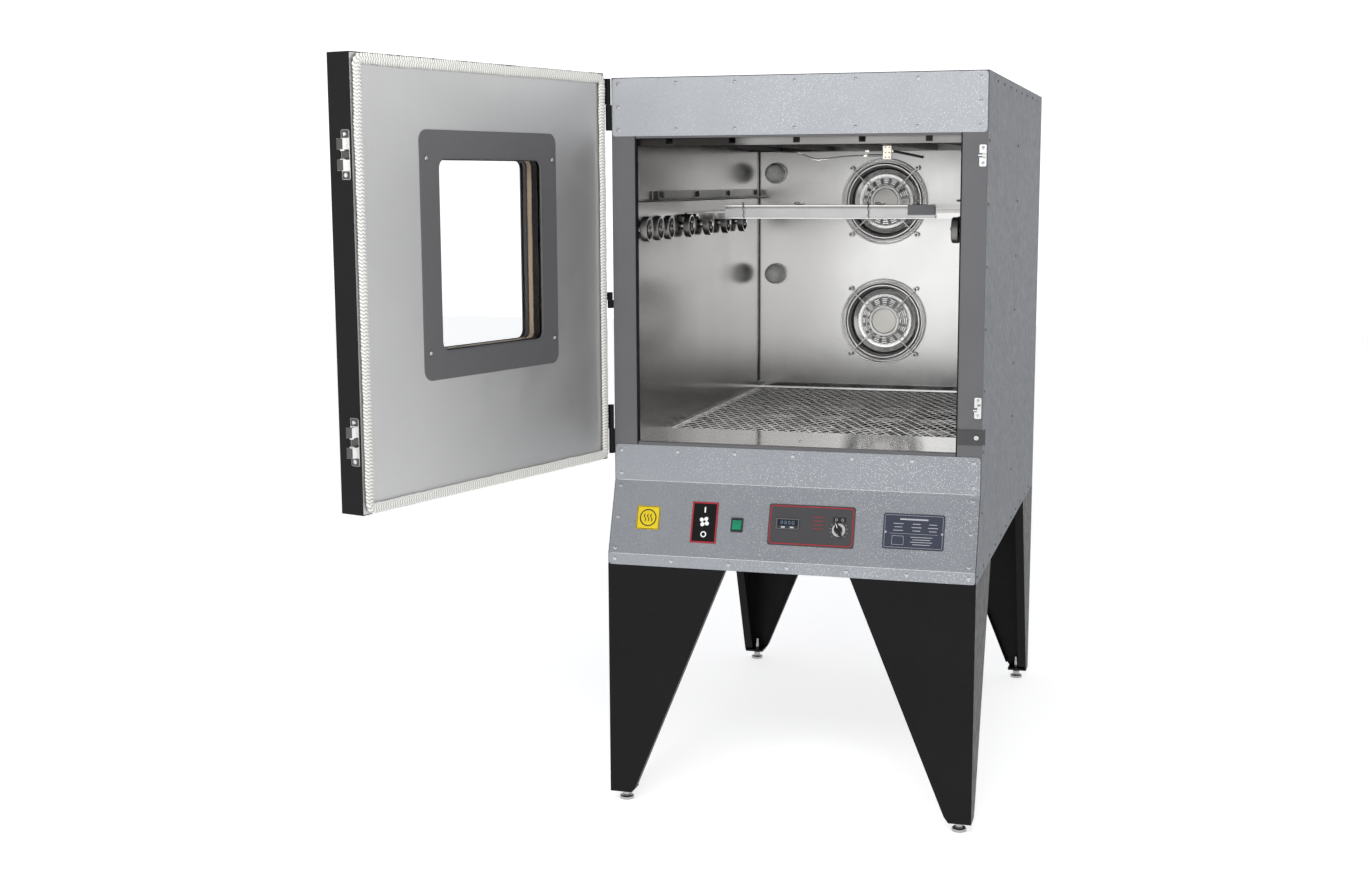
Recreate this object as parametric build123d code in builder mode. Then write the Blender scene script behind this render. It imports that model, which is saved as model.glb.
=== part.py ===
from build123d import *
import os
from math import atan2, cos, degrees, hypot, radians, sin

os.makedirs("parts", exist_ok=True)

# A floor-standing infrared and convection oven for heating plastic sheet, with its door open.
# Millimetres, +Z up, +X to the oven's right, +Y to its back.
# The origin is the centre of the front left levelling foot's underside.

# ---- Driving dimensions: cabinet ----
WIDTH = 838.0
DEPTH = 1270.0
TOP = 1662.0
BASE = 567.0
NOSE = 58.0  # how far the control fascia's foot stands forward of the front frame
FOOT_INSET = 30.0
SKIN = 1.5
LEFT = -FOOT_INSET
RIGHT = LEFT + WIDTH
FRONT = NOSE - FOOT_INSET
BACK = FRONT + DEPTH
MIDDLE = LEFT + WIDTH / 2

# ---- Driving dimensions: front ----
OPENING_WIDTH = 730.0
OPENING_LOW = 843.5
OPENING_HIGH = 1528.5
FRAME_LIP = 20.0
UPPER_FASCIA_LOW = 1533.0
FASCIA_HIGH = 837.0
FOLD_HIGH = 755.0
FOLD_LOW = 593.0
FASCIA_GAP = 2.0
SCREW_PITCH = 134.2
OPENING_LEFT = MIDDLE - OPENING_WIDTH / 2
OPENING_RIGHT = MIDDLE + OPENING_WIDTH / 2
FASCIA_WIDTH = WIDTH - 2 * FASCIA_GAP

# ---- Driving dimensions: chamber ----
LINER = 1.2
CHAMBER_BACK = FRONT + 1158.7
CHAMBER_LOW = 775.0
CHAMBER_HIGH = 1600.0
SILL_DEPTH = 243.0
MESH_TOP = 840.0

# ---- Driving dimensions: rollers and sheet carrier ----
ROLLER_RADIUS = 28.0
ROLLER_WIDTH = 16.0
ROLLER_BORE = 4.05
AXLE_RADIUS = 4.0
ROLLER_HEIGHT = 1326.0
ROLLER_STEPS = (0, 1, 2, 4, 6, 8, 10)
ROLLER_STEP = 87.0
FIRST_ROLLER = FRONT + 34.0
ROLLER_STANDOFF = 7.0
CARRIER_FRONT = FRONT + 405.0
CARRIER_BACK = FRONT + 960.0
CARRIER_LOW = ROLLER_HEIGHT + ROLLER_RADIUS + 0.3
CARRIER_SHEET = 2.5

# ---- Driving dimensions: fans and lamps on the back wall ----
FAN_HEIGHTS = (1376.0, 1037.5)
FAN_NAMES = ("upper", "lower")
GUARD_SCREW = 92.7
LAMP_X = LEFT + 105.3
LAMP_HEIGHTS = (1456.0, 1170.0)

# ---- Driving dimensions: door ----
DOOR_WIDTH = 820.0
DOOR_LOW = 803.0
DOOR_HIGH = 1672.0
DOOR_THICKNESS = 54.0
DOOR_ANGLE = -105.8  # how far the door stands open, turned about +Z from closed
HINGE_X = LEFT - 6.0
HINGE_Y = FRONT - 6.0
HINGE_TO_EDGE = 4.7
HINGE_TO_FACE = 9.0
HINGE_RADIUS = 6.0
PIN_RADIUS = 3.0
HINGE_SPANS = ((816.0, 928.0), (1149.0, 1185.0), (1546.0, 1660.0))
WINDOW_CENTRE = 408.0
WINDOW_MIDDLE = 1288.5
WINDOW_WIDTH = 332.0
WINDOW_HEIGHT = 378.0
CATCH_HEIGHTS = (945.0, 1484.0)
CATCH_NAMES = ("lower", "upper")
CATCH_DEPTH = 12.0
PLUNGER_RADIUS = 5.0
PLUNGER_FIT = 0.06

# ---- Planes ----
SLOPE_LENGTH = hypot(NOSE - SKIN, FOLD_HIGH - FOLD_LOW)
SLOPE_TILT = atan2(NOSE - SKIN, FOLD_HIGH - FOLD_LOW)
SLOPE_NORMAL = (0, -cos(SLOPE_TILT), sin(SLOPE_TILT))
SLOPE_UP = (0, sin(SLOPE_TILT), cos(SLOPE_TILT))
DOOR_X = cos(radians(DOOR_ANGLE))
DOOR_Y = sin(radians(DOOR_ANGLE))


def front_plane(y):
    """An upright plane facing the viewer at depth y; sketch axes are X and Z."""
    return Plane.XZ.offset(-y)


def slope_plane(x=LEFT, down=0.0, out=0.0):
    """The face of the sloping control fascia; sketch axes are X and up the slope."""
    y = FRONT - SKIN - down * SLOPE_UP[1] + out * SLOPE_NORMAL[1]
    z = FOLD_HIGH - down * SLOPE_UP[2] + out * SLOPE_NORMAL[2]
    return Plane(origin=(x, y, z), x_dir=(1, 0, 0), z_dir=SLOPE_NORMAL)


def slope_section(x, down, out=0.0):
    """A plane across the slope at x; sketch axes are up the slope and out of it."""
    return Plane(origin=slope_plane(x, down, out).origin, x_dir=SLOPE_UP, z_dir=(1, 0, 0))


def door_plane(depth, across=0.0):
    """A plane of the door at a depth outwards of its inner face; axes are width and Z."""
    u = HINGE_TO_EDGE + across
    v = -(HINGE_TO_FACE + depth)
    x = HINGE_X + u * DOOR_X - v * DOOR_Y
    y = HINGE_Y + u * DOOR_Y + v * DOOR_X
    return Plane(origin=(x, y, 0), x_dir=(DOOR_X, DOOR_Y, 0), z_dir=(DOOR_Y, -DOOR_X, 0))


def door_level(z):
    """A level plane at height z; sketch axes are door width and towards the cabinet."""
    origin = door_plane(0).origin
    return Plane(origin=(origin.X, origin.Y, z), x_dir=(DOOR_X, DOOR_Y, 0), z_dir=(0, 0, 1))


def door_edge(across, z):
    """A plane across the door's width; sketch axes are outwards from the inner face and Z."""
    origin = door_plane(0, across).origin
    return Plane(
        origin=(origin.X, origin.Y, z),
        x_dir=(DOOR_Y, -DOOR_X, 0),
        z_dir=(-DOOR_X, -DOOR_Y, 0),
    )


def pan_screw(plane, spots, head=4.2, shank=2.0, length=1.2):
    """Pan-head screws standing on a plane, with the end of each shank in its hole."""
    with BuildSketch(plane) as rims:
        with Locations(*spots):
            Circle(head)
    extrude(rims.sketch, amount=1.1)
    with BuildSketch(plane.offset(1.1)) as crowns:
        with Locations(*spots):
            Circle(head)
    extrude(crowns.sketch, amount=1.1, taper=38)
    with BuildSketch(plane) as shanks:
        with Locations(*spots):
            Circle(shank)
    extrude(shanks.sketch, amount=-length)


# ---- Where the fascia screws go ----
SCREW_COLUMNS = [MIDDLE + SCREW_PITCH * step for step in (-3, -2, -1, 0, 1, 2, 3)]
SCREW_ENDS = (SCREW_COLUMNS[0], SCREW_COLUMNS[-1])
UPPER_SPOTS = [(x, z) for x in SCREW_COLUMNS for z in (1547.0, 1648.0)]
UPPER_SPOTS += [(x, 1597.5) for x in SCREW_ENDS]
LOWER_SPOTS = [(x, 824.0) for x in SCREW_COLUMNS] + [(x, 770.0) for x in SCREW_ENDS]
NOSE_SPOTS = [(x, 580.5) for x in SCREW_COLUMNS]
SLOPE_SPOTS = [(x - LEFT, -down) for x in SCREW_ENDS for down in (14.0, 87.0, 159.0)]
SCREW_HOLE = 2.1
SIDE_SPOTS = [(FRONT + 25 + 136 * step, 1646.0) for step in range(1, 9)]
SIDE_SPOTS += [(FRONT + y, 577.0 + 134.0 * step) for y in (22, 640) for step in range(1, 8)]
SIDE_SPOTS += [(FRONT - 40 + 118 * step, 581.0) for step in range(11)]

# ================= Cabinet shell =================

side_outline = [
    (FRONT, TOP - SKIN),
    (FRONT, FOLD_HIGH),
    (FRONT - NOSE + SKIN, FOLD_LOW),
    (FRONT - NOSE + SKIN, BASE),
    (BACK, BASE),
    (BACK, TOP - SKIN),
]
with BuildPart() as side_panels:
    with BuildSketch(Plane.YZ.offset(LEFT)):
        Polygon(*side_outline, align=None)
        with Locations(*SIDE_SPOTS):
            Circle(SCREW_HOLE, mode=Mode.SUBTRACT)
    extrude(amount=SKIN)
    with BuildSketch(Plane.YZ.offset(LEFT + SKIN)):
        with Locations((BACK - 3.8, (BASE + TOP) / 2)):
            Rectangle(1.5, 1000)
    extrude(amount=14)
    mirror(about=Plane.YZ.offset(MIDDLE))
side_panels.part.label = "side_panels"
export_step(side_panels.part, "parts/side_panels.step")

with BuildPart() as top_cover:
    with BuildSketch(Plane.XY.offset(TOP - SKIN)):
        with Locations((MIDDLE, (FRONT + BACK) / 2)):
            RectangleRounded(WIDTH, DEPTH, 3)
    extrude(amount=SKIN)
    with BuildSketch(Plane.XY.offset(TOP - SKIN)):
        with Locations((LEFT + 2.25, (FRONT + BACK) / 2), (RIGHT - 2.25, (FRONT + BACK) / 2)):
            Rectangle(SKIN, DEPTH - 20)
    extrude(amount=-26)
top_cover.part.label = "top_cover"
export_step(top_cover.part, "parts/top_cover.step")

GLAND_X = RIGHT - 120.0
GLAND_Z = 640.0
with BuildPart() as back_panel:
    with BuildSketch(front_plane(BACK - SKIN)):
        with Locations((MIDDLE, (BASE + TOP - SKIN) / 2)):
            Rectangle(WIDTH - 2 * SKIN, TOP - SKIN - BASE)
        with Locations((GLAND_X, GLAND_Z)):
            Circle(12.1, mode=Mode.SUBTRACT)
        for height in FAN_HEIGHTS:
            with Locations((MIDDLE, height)):
                with GridLocations(0, 16, 1, 9):
                    SlotOverall(150, 6, mode=Mode.SUBTRACT)
        with Locations((MIDDLE, 655)):
            with GridLocations(90, 16, 4, 5):
                SlotOverall(70, 6, mode=Mode.SUBTRACT)
    extrude(amount=-SKIN)
back_panel.part.label = "back_panel"
export_step(back_panel.part, "parts/back_panel.step")

BASE_FRONT = FRONT - NOSE + SKIN
with BuildPart() as base_pan:
    with BuildSketch(Plane.XY.offset(BASE)):
        with Locations((MIDDLE, (BASE_FRONT + BACK - SKIN) / 2)):
            Rectangle(WIDTH - 2 * SKIN, BACK - SKIN - BASE_FRONT)
        with Locations((MIDDLE, (FRONT + BACK) / 2)):
            with GridLocations(110, 150, 4, 6):
                SlotOverall(80, 7, mode=Mode.SUBTRACT)
    extrude(amount=2)
    with BuildSketch(Plane.XY.offset(BASE + 2)):
        with Locations((LEFT + 2.25, FRONT + 620), (RIGHT - 2.25, FRONT + 620)):
            Rectangle(SKIN, DEPTH - 60)
    extrude(amount=24)
base_pan.part.label = "base_pan"
export_step(base_pan.part, "parts/base_pan.step")

# ================= Front frame and fascias =================

with BuildPart() as front_frame:
    with BuildSketch(front_plane(FRONT)):
        with Locations((MIDDLE, (FOLD_HIGH + 4 + TOP - SKIN) / 2)):
            Rectangle(WIDTH - 2 * SKIN, TOP - SKIN - FOLD_HIGH - 4)
        with Locations((MIDDLE, (OPENING_LOW + OPENING_HIGH) / 2)):
            RectangleRounded(OPENING_WIDTH, OPENING_HIGH - OPENING_LOW, 5, mode=Mode.SUBTRACT)
    extrude(amount=-SKIN)
    with BuildSketch(front_plane(FRONT + SKIN)):
        with Locations((MIDDLE, (OPENING_LOW + OPENING_HIGH) / 2)):
            RectangleRounded(OPENING_WIDTH + 3, OPENING_HIGH - OPENING_LOW + 3, 6.5)
            RectangleRounded(OPENING_WIDTH, OPENING_HIGH - OPENING_LOW, 5, mode=Mode.SUBTRACT)
    extrude(amount=-(FRAME_LIP - SKIN))
front_frame.part.label = "front_frame"
export_step(front_frame.part, "parts/front_frame.step")

with BuildPart() as upper_fascia:
    with BuildSketch(front_plane(FRONT)):
        with Locations((MIDDLE, (UPPER_FASCIA_LOW + TOP - SKIN) / 2)):
            RectangleRounded(FASCIA_WIDTH, TOP - SKIN - UPPER_FASCIA_LOW, 7)
        with Locations(*UPPER_SPOTS):
            Circle(SCREW_HOLE, mode=Mode.SUBTRACT)
    extrude(amount=SKIN)
upper_fascia.part.label = "upper_fascia"
export_step(upper_fascia.part, "parts/upper_fascia.step")

# Control devices: distances from the fascia's left side and down the slope
SWITCH = (298.5, 93.0)
SWITCH_CUT = (24.4, 28.4)
TIMER = (415.0, 85.0)
TIMER_CUT = (48.4, 20.4)
SELECTOR = (531.0, 93.0)
SELECTOR_CUT = 8.2
KEY_OFFSETS = (-10.0, 10.0)
KEY_SIZE = (9.0, 3.6)

with BuildPart() as lower_fascia:
    with BuildSketch(Plane.YZ.offset(LEFT + FASCIA_GAP)):
        with BuildLine():
            FilletPolyline(
                (FRONT - SKIN, FASCIA_HIGH),
                (FRONT - SKIN, FOLD_HIGH),
                (FRONT - NOSE, FOLD_LOW),
                (FRONT - NOSE, BASE),
                radius=4,
            )
            offset(amount=SKIN, side=Side.LEFT)
        make_face()
    extrude(amount=FASCIA_WIDTH)
    fillet(lower_fascia.edges().filter_by(Axis.Y).group_by(Axis.Z)[-1], 7)
    fillet(lower_fascia.edges().filter_by(Axis.Y).group_by(Axis.Z)[0], 7)
    with BuildSketch(front_plane(FRONT)):
        with Locations(*LOWER_SPOTS):
            Circle(SCREW_HOLE)
    extrude(amount=SKIN * 2, mode=Mode.SUBTRACT)
    with BuildSketch(front_plane(FRONT - NOSE + SKIN)):
        with Locations(*NOSE_SPOTS):
            Circle(SCREW_HOLE)
    extrude(amount=SKIN * 2, mode=Mode.SUBTRACT)
    with BuildSketch(slope_plane()):
        with Locations(*SLOPE_SPOTS):
            Circle(SCREW_HOLE)
        with Locations((SWITCH[0], -SWITCH[1])):
            Rectangle(*SWITCH_CUT)
        with Locations((TIMER[0], -TIMER[1])):
            Rectangle(*TIMER_CUT)
        with Locations((SELECTOR[0], -SELECTOR[1])):
            Circle(SELECTOR_CUT)
    extrude(amount=SKIN * 2, both=True, mode=Mode.SUBTRACT)
lower_fascia.part.label = "lower_fascia"
export_step(lower_fascia.part, "parts/lower_fascia.step")

with BuildPart() as cabinet_screws:
    pan_screw(front_plane(FRONT - SKIN), UPPER_SPOTS)
    pan_screw(front_plane(FRONT - SKIN), LOWER_SPOTS)
    pan_screw(front_plane(FRONT - NOSE), NOSE_SPOTS)
    pan_screw(slope_plane(), SLOPE_SPOTS)
    pan_screw(Plane.YZ.offset(RIGHT), SIDE_SPOTS, head=3.4)
    left_spots = [(-y, z) for y, z in SIDE_SPOTS if y > FRONT + 40 or not 816 < z < 928]
    pan_screw(Plane(origin=(LEFT, 0, 0), x_dir=(0, -1, 0), z_dir=(-1, 0, 0)), left_spots, head=3.4)
cabinet_screws.part.label = "cabinet_screws"
export_step(cabinet_screws.part, "parts/cabinet_screws.step")

# ================= Chamber =================

ROLLER_SPOTS = [(FIRST_ROLLER + ROLLER_STEP * step, ROLLER_HEIGHT) for step in ROLLER_STEPS]
CHAMBER_MID_Y = (FRONT + FRAME_LIP + CHAMBER_BACK) / 2
CHAMBER_LENGTH = CHAMBER_BACK - FRONT - FRAME_LIP
FAN_MOUTH = 100.0
SEAM = 0.2  # open seam between neighbouring liner plates
with BuildPart() as chamber_liner:
    # side plates
    with BuildSketch(Plane.YZ.offset(OPENING_LEFT)):
        with Locations((CHAMBER_MID_Y, (CHAMBER_LOW + CHAMBER_HIGH) / 2)):
            Rectangle(CHAMBER_LENGTH - 2 * SEAM, CHAMBER_HIGH - CHAMBER_LOW + 2 * LINER)
        with Locations(*ROLLER_SPOTS):
            Circle(AXLE_RADIUS + 0.1, mode=Mode.SUBTRACT)
    extrude(amount=-LINER)
    mirror(about=Plane.YZ.offset(MIDDLE))
    # floor and ceiling plates between them
    with BuildSketch(Plane.XY.offset(CHAMBER_LOW)):
        with Locations((MIDDLE, CHAMBER_MID_Y)):
            Rectangle(OPENING_WIDTH - 2 * SEAM, CHAMBER_LENGTH - 2 * SEAM)
    extrude(amount=-LINER)
    with BuildSketch(Plane.XY.offset(CHAMBER_HIGH)):
        with Locations((MIDDLE, CHAMBER_MID_Y)):
            Rectangle(OPENING_WIDTH - 2 * SEAM, CHAMBER_LENGTH - 2 * SEAM)
    extrude(amount=LINER)
    # back plate behind all four
    with BuildSketch(front_plane(CHAMBER_BACK)):
        with Locations((MIDDLE, (CHAMBER_LOW + CHAMBER_HIGH) / 2)):
            Rectangle(OPENING_WIDTH + 2 * LINER, CHAMBER_HIGH - CHAMBER_LOW + 2 * LINER)
        with Locations(*[(MIDDLE, height) for height in FAN_HEIGHTS]):
            Circle(FAN_MOUTH, mode=Mode.SUBTRACT)
        with Locations(*[(LAMP_X, height) for height in LAMP_HEIGHTS]):
            Circle(18.1, mode=Mode.SUBTRACT)
    extrude(amount=-LINER)
chamber_liner.part.label = "chamber_liner"
export_step(chamber_liner.part, "parts/chamber_liner.step")

BATT = 38.0
with BuildPart() as insulation:
    with BuildSketch(Plane.YZ.offset(LEFT + 5)):
        with Locations((CHAMBER_MID_Y, (CHAMBER_LOW + CHAMBER_HIGH) / 2)):
            Rectangle(CHAMBER_LENGTH - 20, CHAMBER_HIGH - CHAMBER_LOW)
    extrude(amount=BATT)
    mirror(about=Plane.YZ.offset(MIDDLE))
    with BuildSketch(Plane.XY.offset(CHAMBER_HIGH + 6)):
        with Locations((MIDDLE, CHAMBER_MID_Y)):
            Rectangle(OPENING_WIDTH, CHAMBER_LENGTH - 20)
    extrude(amount=BATT)
    with BuildSketch(Plane.XY.offset(CHAMBER_LOW - 6)):
        with Locations((MIDDLE, CHAMBER_MID_Y)):
            Rectangle(OPENING_WIDTH, CHAMBER_LENGTH - 20)
    extrude(amount=-BATT)
insulation.part.label = "insulation"
export_step(insulation.part, "parts/insulation.step")

# Heater trays: long channels above and below, each holding a row of square ceramic emitters
TRAY_PITCH = 145.5
TRAY_WIDTH = 130.5
TRAY_LENGTH = 1080.0
TRAY_MID_Y = FRONT + 26 + TRAY_LENGTH / 2
TRAY_COLUMNS = [MIDDLE + TRAY_PITCH * step for step in (-1.5, -0.5, 0.5, 1.5)]
UPPER_TRAY = 1552.0
LOWER_TRAY = 784.0
TRAY_LIP = 36.0


def heater_tray(x, z, upwards):
    """One channel with its floor at z and its sides running up or down."""
    with BuildSketch(Plane.XY.offset(z)) as tray_floor:
        with Locations((x, TRAY_MID_Y)):
            Rectangle(TRAY_WIDTH, TRAY_LENGTH)
    extrude(tray_floor.sketch, amount=-1.0 * upwards)
    with BuildSketch(Plane.XY.offset(z)) as tray_sides:
        with Locations((x, TRAY_MID_Y)):
            with GridLocations(TRAY_WIDTH - 1, 0, 2, 1):
                Rectangle(1.0, TRAY_LENGTH)
    extrude(tray_sides.sketch, amount=TRAY_LIP * upwards)


with BuildPart() as heater_racks:
    for column in TRAY_COLUMNS:
        heater_tray(column, UPPER_TRAY, -1)
        heater_tray(column, LOWER_TRAY, 1)
    # cross rails at the front and back of each rack, notched where the gaps between trays are
    with BuildSketch(front_plane(FRONT + 21)):
        with Locations((MIDDLE, 1522)):
            Rectangle(OPENING_WIDTH - 1, 20)
        with Locations(*[(MIDDLE + TRAY_PITCH * step, 1522) for step in range(-2, 3)]):
            Rectangle(15, 12, mode=Mode.SUBTRACT)
    extrude(amount=-1.5)
    with BuildSketch(front_plane(FRONT + 1110)):
        with Locations((MIDDLE, 1530), (MIDDLE, 800)):
            Rectangle(OPENING_WIDTH - 1, 30)
    extrude(amount=-1.5)
heater_racks.part.label = "heater_racks"
export_step(heater_racks.part, "parts/heater_racks.step")

EMITTER = 116.0
EMITTER_PITCH = 205.0
with BuildPart() as heater_elements:
    for level, direction in ((UPPER_TRAY - 6, -1), (LOWER_TRAY + 6, 1)):
        with BuildSketch(Plane.XY.offset(level)):
            with Locations((MIDDLE, TRAY_MID_Y)):
                with GridLocations(TRAY_PITCH, EMITTER_PITCH, 4, 5):
                    RectangleRounded(EMITTER, EMITTER, 6)
        extrude(amount=18 * direction)
        # porcelain foot of each emitter, standing on its tray
        with BuildSketch(Plane.XY.offset(level)):
            with Locations((MIDDLE, TRAY_MID_Y)):
                with GridLocations(TRAY_PITCH, EMITTER_PITCH, 4, 5):
                    Rectangle(30, 14)
        extrude(amount=-6 * direction)
heater_elements.part.label = "heater_elements"
export_step(heater_elements.part, "parts/heater_elements.step")

MESH_THICKNESS = 2.0
MESH_FRONT = FRONT + SILL_DEPTH - 8
MESH_BACK = CHAMBER_BACK - 4
MESH_MID_Y = (MESH_FRONT + MESH_BACK) / 2
with BuildPart() as floor_mesh:
    with BuildSketch(Plane.XY.offset(MESH_TOP - MESH_THICKNESS)):
        with Locations((MIDDLE, MESH_MID_Y)):
            Rectangle(OPENING_WIDTH - 3, MESH_BACK - MESH_FRONT)
            with GridLocations(56, 65, 12, 13):
                Polygon((-25, 0), (0, -26), (25, 0), (0, 26), mode=Mode.SUBTRACT)
    extrude(amount=MESH_THICKNESS)
floor_mesh.part.label = "floor_mesh"
export_step(floor_mesh.part, "parts/floor_mesh.step")

with BuildPart() as floor_trims:
    # front sill: a wide plate with its front edge turned down
    with BuildSketch(Plane.XY.offset(OPENING_LOW)):
        with Locations((MIDDLE, FRONT + FRAME_LIP + (SILL_DEPTH - FRAME_LIP) / 2)):
            Rectangle(OPENING_WIDTH - 0.6, SILL_DEPTH - FRAME_LIP)
    extrude(amount=-1.5)
    with BuildSketch(Plane.XY.offset(OPENING_LOW - 1.5)):
        with Locations((MIDDLE, FRONT + FRAME_LIP + 0.75)):
            Rectangle(OPENING_WIDTH - 0.6, 1.5)
    extrude(amount=-30)
    # ledges along both side walls and the back wall carry the mesh
    with BuildSketch(Plane.XY.offset(MESH_TOP - MESH_THICKNESS)):
        with Locations((OPENING_LEFT + 8.3, MESH_MID_Y), (OPENING_RIGHT - 8.3, MESH_MID_Y)):
            Rectangle(16, MESH_BACK - MESH_FRONT)
    extrude(amount=-1.5)
    # angle trim along the foot of the back wall, over the mesh
    with BuildSketch(Plane.YZ.offset(OPENING_LEFT + 0.3)):
        with BuildLine():
            Polyline(
                (CHAMBER_BACK - 22, MESH_TOP),
                (CHAMBER_BACK - 0.2, MESH_TOP),
                (CHAMBER_BACK - 0.2, MESH_TOP + 16),
            )
            offset(amount=1.5, side=Side.LEFT)
        make_face()
    extrude(amount=OPENING_WIDTH - 0.6)
floor_trims.part.label = "floor_trims"
export_step(floor_trims.part, "parts/floor_trims.step")

RAIL_LOW = 1389.0
RAIL_WEB = 23.0
RAIL_LEDGE = 27.0
RAIL_FRONT = FRONT + 130.0
RAIL_BACK = FRONT + 1148.0
with BuildPart() as sheet_rails:
    with BuildSketch(Plane.YZ.offset(OPENING_LEFT)):
        with Locations(((RAIL_FRONT + RAIL_BACK) / 2, RAIL_LOW + RAIL_WEB / 2)):
            Rectangle(RAIL_BACK - RAIL_FRONT, RAIL_WEB)
    extrude(amount=1.5)
    ledge_outline = [
        (OPENING_LEFT, FRONT + 40),
        (OPENING_LEFT + 8, FRONT + 40),
        (OPENING_LEFT + RAIL_LEDGE, FRONT + 118),
        (OPENING_LEFT + RAIL_LEDGE, RAIL_BACK),
        (OPENING_LEFT, RAIL_BACK),
    ]
    with BuildSketch(Plane.XY.offset(RAIL_LOW)):
        Polygon(*ledge_outline, align=None)
    extrude(amount=1.5)
    with BuildSketch(Plane.YZ.offset(OPENING_LEFT + 1.5)):
        with Locations(*[(FRONT + 199 + 303 * step, RAIL_LOW + 13) for step in range(4)]):
            Circle(5)
    extrude(amount=3, taper=20)
    mirror(about=Plane.YZ.offset(MIDDLE))
sheet_rails.part.label = "sheet_rails"
export_step(sheet_rails.part, "parts/sheet_rails.step")

# ================= Roller tracks =================

ROLLER_INNER = OPENING_LEFT + ROLLER_STANDOFF
with BuildPart() as roller_axles:
    with BuildSketch(Plane.YZ.offset(OPENING_LEFT - 8)):
        with Locations(*ROLLER_SPOTS):
            Circle(AXLE_RADIUS)
    extrude(amount=8 + ROLLER_STANDOFF + ROLLER_WIDTH + 1)
    with BuildSketch(Plane.YZ.offset(OPENING_LEFT)):
        with Locations(*ROLLER_SPOTS):
            Circle(8)
    extrude(amount=ROLLER_STANDOFF - 0.5)
    with BuildSketch(Plane.YZ.offset(ROLLER_INNER + ROLLER_WIDTH + 0.5)):
        with Locations(*ROLLER_SPOTS):
            RegularPolygon(6.5, 6)
    extrude(amount=4)
    with BuildSketch(Plane.YZ.offset(OPENING_LEFT - LINER)):
        with Locations(*ROLLER_SPOTS):
            RegularPolygon(6.5, 6)
    extrude(amount=-5)
    mirror(about=Plane.YZ.offset(MIDDLE))
roller_axles.part.label = "roller_axles"
export_step(roller_axles.part, "parts/roller_axles.step")

for number, (roller_y, roller_z) in enumerate(ROLLER_SPOTS, start=1):
    with BuildPart() as roller_pair:
        with BuildSketch(Plane.YZ.offset(ROLLER_INNER)):
            with Locations((roller_y, roller_z)):
                Circle(ROLLER_RADIUS)
                Circle(ROLLER_BORE, mode=Mode.SUBTRACT)
        extrude(amount=ROLLER_WIDTH)
        chamfer(roller_pair.edges().filter_by(GeomType.CIRCLE).group_by(SortBy.RADIUS)[-1], 1.2)
        # recessed web between the rim and the bearing hub, on the side that faces the chamber
        with BuildSketch(Plane.YZ.offset(ROLLER_INNER + ROLLER_WIDTH)):
            with Locations((roller_y, roller_z)):
                Circle(ROLLER_RADIUS - 5)
                Circle(10, mode=Mode.SUBTRACT)
        extrude(amount=-4, mode=Mode.SUBTRACT)
        mirror(about=Plane.YZ.offset(MIDDLE))
    roller_pair.part.label = f"roller_pair_{number}"
    export_step(roller_pair.part, f"parts/roller_pair_{number}.step")

RAIL_WIDTH = 26.0
CARRIER_LEFT = OPENING_LEFT + 3
CARRIER_RIGHT = OPENING_RIGHT - 3
CARRIER_MID_Y = (CARRIER_FRONT + CARRIER_BACK) / 2
INNER_LEFT = CARRIER_LEFT + RAIL_WIDTH
INNER_RIGHT = CARRIER_RIGHT - RAIL_WIDTH
FLANGE_DROP = 12.0
with BuildPart() as carrier_frame:
    with BuildSketch(Plane.XY.offset(CARRIER_LOW)):
        with Locations((MIDDLE, CARRIER_MID_Y)):
            Rectangle(CARRIER_RIGHT - CARRIER_LEFT, CARRIER_BACK - CARRIER_FRONT)
            Rectangle(
                INNER_RIGHT - INNER_LEFT,
                CARRIER_BACK - CARRIER_FRONT - 60,
                mode=Mode.SUBTRACT,
            )
    extrude(amount=CARRIER_SHEET)
    # stiffening flange turned down all round, inboard of the rollers
    with BuildSketch(Plane.XY.offset(CARRIER_LOW)):
        with Locations((MIDDLE, CARRIER_MID_Y)):
            Rectangle(INNER_RIGHT - INNER_LEFT + 5, CARRIER_BACK - CARRIER_FRONT)
            Rectangle(
                INNER_RIGHT - INNER_LEFT,
                CARRIER_BACK - CARRIER_FRONT - 5,
                mode=Mode.SUBTRACT,
            )
    extrude(amount=-FLANGE_DROP)
carrier_frame.part.label = "carrier_frame"
export_step(carrier_frame.part, "parts/carrier_frame.step")

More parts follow.
